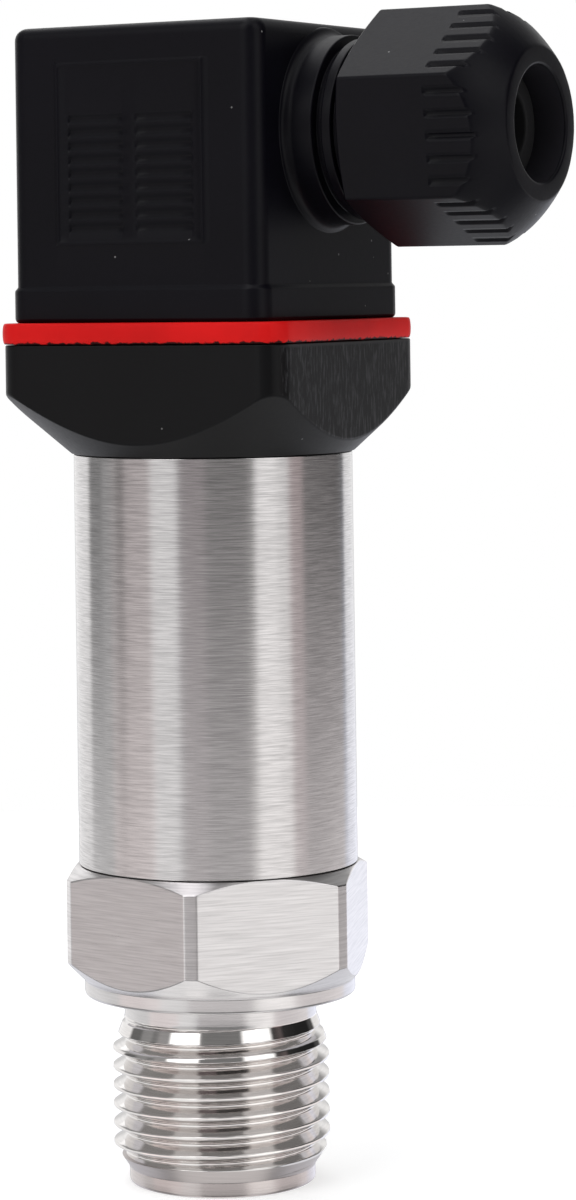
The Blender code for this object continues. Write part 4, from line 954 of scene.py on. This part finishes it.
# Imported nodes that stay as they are, by finish; numbered ones go by their common name
NODE_FINISHES = {
    "soft_rubber": ("adapter_o_ring", "capsule_o_ring", "fitting_o_ring", "screw_seal"),
    "plug_plastic": ("amplifier_chip", "contact_base"),
    "grey_moulding": ("board_holder", "gland_washer", "span_trimmer", "zero_trimmer", "terminal_block"),
    "board_laminate": ("circuit_board",),
    "tinned_brass": ("contact_blade", "contact_clip", "earth_blade"),
    "zinc_plate": ("fixing_screw", "terminal_screw"),
    "satin_steel": ("retaining_ring",),
    "capsule_steel": ("sensor_capsule",),
    "turned_brass": ("threaded_insert",),
}


def finish(name):
    """The finish of that name, made once."""
    made = bpy.data.materials.get(name)
    if made is None:
        kind, colour, *values = FINISHES[name]
        if isinstance(colour, str):
            colour = tuple(getattr(bpy.context.scene.transducer_colours, colour))
        made = kind(name, colour, *values)
    return made


# Stage

VIEW_AZIMUTH = math.radians(30.5)
TOWARDS_CAMERA = (math.sin(VIEW_AZIMUTH), -math.cos(VIEW_AZIMUTH), 0.0)
ACROSS_VIEW = (math.cos(VIEW_AZIMUTH), math.sin(VIEW_AZIMUTH), 0.0)
CAMERA_DISTANCE = 0.371904
EYE_HEIGHT = 0.086976
CAMERA_ROLL = math.radians(0.775)
CAMERA_LENS = 115.07
CAMERA_SENSOR = 36.0
CAMERA_SHIFT = (0.0644, -0.2669)
CAMERA_CLIP = (0.01, 20.0)

FLOOR_LEVEL = -0.02
FLOOR_RADII = (0.0, 20.0, 60.0, 140.0, 260.0)
FLOOR_LIFT = 0.55

# Plans of the studio: each band of tone starts at a bearing from the camera's side, in degrees
# with left negative, and runs to the next. NEAR is the table close to the part, FLOOR the lit
# table round it, LEVEL the screens and dark flags, HIGH the light boxes above them and
# OVERHEAD the ceiling, whose bands lie by their swing to the left or right of the camera.
# NADIR is the tone straight below.
NADIR = 1.12
NEAR = (
    (-180, (0.85, 0.86, 0.91)), (-116, 0.36), (-69, 0.75), (-30, 0.29), (33, 0.8), (74, 0.27),
    (114, (0.85, 0.86, 0.91)))
FLOOR = (
    (-180, (0.55, 0.55, 0.6)), (-168, 1.0), (-125, 1.0), (-95, (1.22, 1.13, 1.12)), (-52, 1.16),
    (-26, (1.1, 1.07, 1.07)), (28, (1.5, 1.47, 1.45)), (66, (1.1, 1.05, 1.05)),
    (130, (1.12, 1.15, 1.28)), (168, (0.55, 0.55, 0.6)))
LEVEL = (
    (-180, 0.7), (-168, 1.05), (-125, 0.16), (-105, 0.3), (-88, 0.1), (-79, (0.41, 0.38, 0.38)),
    (-54, 0.88), (-30, (0.18, 0.15, 0.16)), (-7, 0.02), (33.5, 1.0), (53, 0.78),
    (64, (0.37, 0.29, 0.29)), (78, 0.02), (124, 0.08), (135, 0.98), (168, 0.7))
HIGH = (
    (-180, 0.8), (-172, 2.0), (-159, 0.35), (-63, 2.2), (-26, 0.22), (26, 1.6), (63, 0.04),
    (130, 0.35), (165, 0.8))
OVERHEAD = ((-90, 0.4), (-24, (2.1, 2.1, 2.16)), (-6, 0.3), (6, 1.3), (16, 0.4))
SOFT_EDGE = 2.5
# Each plan takes over from the one below it between these two heights of the ray
TAKE_OVER = (
    (NEAR, -0.90, -0.85), (FLOOR, -0.30, -0.24), (LEVEL, -0.165, -0.062), (HIGH, 0.28, 0.42),
    (OVERHEAD, 0.76, 0.82))


def place_camera():
    """Level camera with a small roll, its aim moved by the lens shift."""
    data = bpy.data.cameras.new("photo_camera")
    data.lens = CAMERA_LENS
    data.sensor_width = CAMERA_SENSOR
    data.shift_x, data.shift_y = CAMERA_SHIFT
    data.clip_start, data.clip_end = CAMERA_CLIP
    camera = bpy.data.objects.new("photo_camera", data)
    bpy.context.scene.collection.objects.link(camera)
    back, across, up = Vector(TOWARDS_CAMERA), Vector(ACROSS_VIEW), Vector((0.0, 0.0, 1.0))
    right = across * math.cos(CAMERA_ROLL) - up * math.sin(CAMERA_ROLL)
    top = up * math.cos(CAMERA_ROLL) + across * math.sin(CAMERA_ROLL)
    turn = Matrix((right, top, back)).transposed().to_4x4()
    camera.matrix_world = Matrix.Translation(back * CAMERA_DISTANCE + up * EYE_HEIGHT) @ turn
    bpy.context.scene.camera = camera


def bands(tree, plan, value, span):
    """Tone of a plan over a full turn, or over the half turn of the ceiling's swing."""
    stops = [(0.0, plan[0][1])]
    for (_, before), (edge, after) in zip(plan, plan[1:]):
        stops += [((edge - SOFT_EDGE) / span + 0.5, before), ((edge + SOFT_EDGE) / span + 0.5, after)]
    return ramp(tree, value, stops)


def by_viewer(tree, others, camera):
    """Shows one shader to the camera and another to every other ray."""
    seen = add(tree, "ShaderNodeLightPath").outputs["Is Camera Ray"]
    mixed = add(tree, "ShaderNodeMixShader", {0: seen, 1: others.outputs[0], 2: camera.outputs[0]})
    return mixed.outputs[0]


def studio_world():
    """Studio seen by what it lights: its tone depends on the bearing and height of the ray,
    and everything that the camera sees directly is white."""
    world = bpy.data.worlds.new("studio_tent")
    bpy.context.scene.world = world
    world.use_nodes = True
    tree = world.node_tree
    tree.nodes.clear()
    way = add(tree, "ShaderNodeTexCoord").outputs["Generated"]
    ahead, aside = (
        add(tree, "ShaderNodeVectorMath", {0: way, 1: axis}, operation="DOT_PRODUCT").outputs["Value"]
        for axis in (TOWARDS_CAMERA, ACROSS_VIEW))
    height = height_of(tree, way)
    turn = spread_from(tree, combine(tree, "ARCTAN2", aside, ahead), -math.pi, math.pi)
    swing = spread_from(tree, combine(tree, "ARCSINE", aside), -math.pi / 2, math.pi / 2)
    tone = (NADIR, NADIR, NADIR, 1.0)
    for plan, low, high in TAKE_OVER:
        value, span = (swing, 180) if plan is OVERHEAD else (turn, 360)
        tone = blend(tree, spread_from(tree, height, low, high), tone, bands(tree, plan, value, span))
    light = add(tree, "ShaderNodeBackground", {"Color": tone, "Strength": 1.0})
    white = add(tree, "ShaderNodeBackground", {"Color": (1.0, 1.0, 1.0, 1.0), "Strength": 1.0})
    out = add(tree, "ShaderNodeOutputWorld")
    tree.links.new(by_viewer(tree, light, white), out.inputs["Surface"])


def floor_material(colour):
    """Pale matt floor, lifted for the camera alone so that it looks white outside the shadow."""
    made, tree, shader = new_material("pale_floor", {
        "Roughness": 0.9, "Specular IOR Level": 0.1, "Base Color": (*colour, 1.0)})
    fine = noise(tree, object_place(tree), 60.0, 2.0)
    tree.links.new(spread(tree, fine, 0.86, 0.94), shader.inputs["Roughness"])
    lift = add(tree, "ShaderNodeEmission", {"Color": (1.0, 1.0, 1.0, 1.0), "Strength": FLOOR_LIFT})
    both = add(tree, "ShaderNodeAddShader", {0: shader.outputs[0], 1: lift.outputs[0]})
    tree.links.new(by_viewer(tree, shader, both), tree.nodes["Material Output"].inputs["Surface"])
    return made


def make_floor(colour):
    """Round pale floor under the part, rings of points about the axis, that keeps the shadow."""
    angles = comb(96)
    profile = np.stack((FLOOR_RADII, np.full(len(FLOOR_RADII), FLOOR_LEVEL)), axis=-1)
    points, quads, tris, _, _ = shell(about_z(profile, angles), loop=False)
    if area_normals(points, (quads, tris))[:, 2].sum() < 0.0:
        quads, tris = quads[:, ::-1], tris[:, ::-1]
    mesh = bpy.data.meshes.new("studio_floor")
    mesh.from_pydata((points * MM).tolist(), [], quads.tolist() + tris.tolist())
    mesh.materials.append(floor_material(colour))
    item = bpy.data.objects.new("studio_floor", mesh)
    item.visible_glossy = False
    bpy.context.scene.collection.objects.link(item)


# Operators


class BuildStage(Operator):
    """Makes the camera of the photograph, the pale floor and the soft studio light"""

    bl_idname = "transducer.stage"
    bl_label = "Stage"

    def execute(self, context):
        place_camera()
        studio_world()
        make_floor(tuple(context.scene.transducer_colours.floor))
        context.scene.view_settings.view_transform = "Standard"
        return {"FINISHED"}


class BuildFitting(Operator):
    """Makes the steel process fitting with its helical thread and turned hexagon"""

    bl_idname = "transducer.fitting"
    bl_label = "Process fitting"

    def execute(self, context):
        grid, zones = fitting_grid(context.scene.transducer_sizes)
        make_piece("steel_fitting", [shell(grid, zones=zones)], FITTING_FINISHES,
                   "process_fitting")
        return {"FINISHED"}


class BuildTube(Operator):
    """Makes the brushed stainless housing tube"""

    bl_idname = "transducer.tube"
    bl_label = "Housing tube"

    def execute(self, context):
        make_piece("steel_tube", [shell(tube_grid())], ["brushed_tube"],
                   "housing_tube")
        return {"FINISHED"}


class BuildAdapter(Operator):
    """Makes the black round-to-square adapter"""

    bl_idname = "transducer.adapter"
    bl_label = "Square adapter"

    def execute(self, context):
        make_piece("adapter_body", [shell(adapter_grid())], ["adapter_plastic"],
                   "square_adapter")
        return {"FINISHED"}


class BuildGasket(Operator):
    """Makes the red profile gasket"""

    bl_idname = "transducer.gasket"
    bl_label = "Profile gasket"

    def execute(self, context):
        bulge = context.scene.transducer_sizes.gasket_bulge / MM
        make_piece("gasket_ring", [shell(gasket_grid(bulge))], ["gasket_rubber"],
                   "profile_gasket")
        return {"FINISHED"}


class BuildPlug(Operator):
    """Makes the plug housing with its panel and cable spout"""

    bl_idname = "transducer.plug"
    bl_label = "Plug housing"

    def execute(self, context):
        sizes = context.scene.transducer_sizes
        body = plug_grid(sizes.panel_relief / MM, sizes.rib_depth / MM)
        make_piece("plug_body", [shell(body), shell(spout_grid(), loop=False)], ["plug_plastic"],
                   "plug_housing")
        return {"FINISHED"}


class BuildGland(Operator):
    """Makes the domed gland nut and the rubber seal in its mouth"""

    bl_idname = "transducer.gland"
    bl_label = "Cable gland"

    def execute(self, context):
        sizes = context.scene.transducer_sizes
        grid, zones = nut_grid(sizes.grip_depth / MM, sizes.dome_bulge / MM)
        # The inside of the mouth takes the lighter plastic, painted light.
        make_piece("gland_cap", [shell(grid, zones=zones)], ["plug_plastic", "mouth_plastic"],
                   "gland_nut")
        make_piece("gland_bush", [shell(seal_grid())], ["soft_rubber"], "gland_seal")
        return {"FINISHED"}


class DressNodes(Operator):
    """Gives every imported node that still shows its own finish"""

    bl_idname = "transducer.dress_nodes"
    bl_label = "Finishes of the inner parts"

    def execute(self, context):
        wanted = {node: name for name, nodes in NODE_FINISHES.items() for node in nodes}
        for node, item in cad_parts.items():
            key = node if node in wanted else node.rstrip("0123456789").rstrip("_")
            if key in wanted:
                item.data.materials.clear()
                item.data.materials.append(finish(wanted[key]))
        return {"FINISHED"}


BUILD_ORDER = (BuildStage, BuildFitting, BuildTube, BuildAdapter, BuildGasket, BuildPlug, BuildGland,
               DressNodes)


class TransducerPanel(Panel):
    """Lists the builders and the sizes and colours in the sidebar"""

    bl_idname = "VIEW3D_PT_transducer"
    bl_label = "Pressure transducer"
    bl_space_type = "VIEW_3D"
    bl_region_type = "UI"
    bl_category = "Transducer"

    def draw(self, context):
        layout = self.layout
        for group in (context.scene.transducer_sizes, context.scene.transducer_colours):
            column = layout.column()
            for key in group.__annotations__:
                column.prop(group, key)
        for builder in BUILD_ORDER:
            layout.operator(builder.bl_idname)


CLASSES = (TransducerSizes, TransducerColours, *BUILD_ORDER, TransducerPanel)


def register():
    """Registers the classes and hangs the two property groups on the scene."""
    for item in CLASSES:
        bpy.utils.register_class(item)
    bpy.types.Scene.transducer_sizes = PointerProperty(type=TransducerSizes)
    bpy.types.Scene.transducer_colours = PointerProperty(type=TransducerColours)


def unregister():
    """Takes the property groups and the classes away again."""
    del bpy.types.Scene.transducer_sizes
    del bpy.types.Scene.transducer_colours
    for item in reversed(CLASSES):
        bpy.utils.unregister_class(item)


def main():
    register()
    for item in BUILD_ORDER:
        group, name = item.bl_idname.split(".")
        getattr(getattr(bpy.ops, group), name)()


if __name__ == "__main__":
    main()
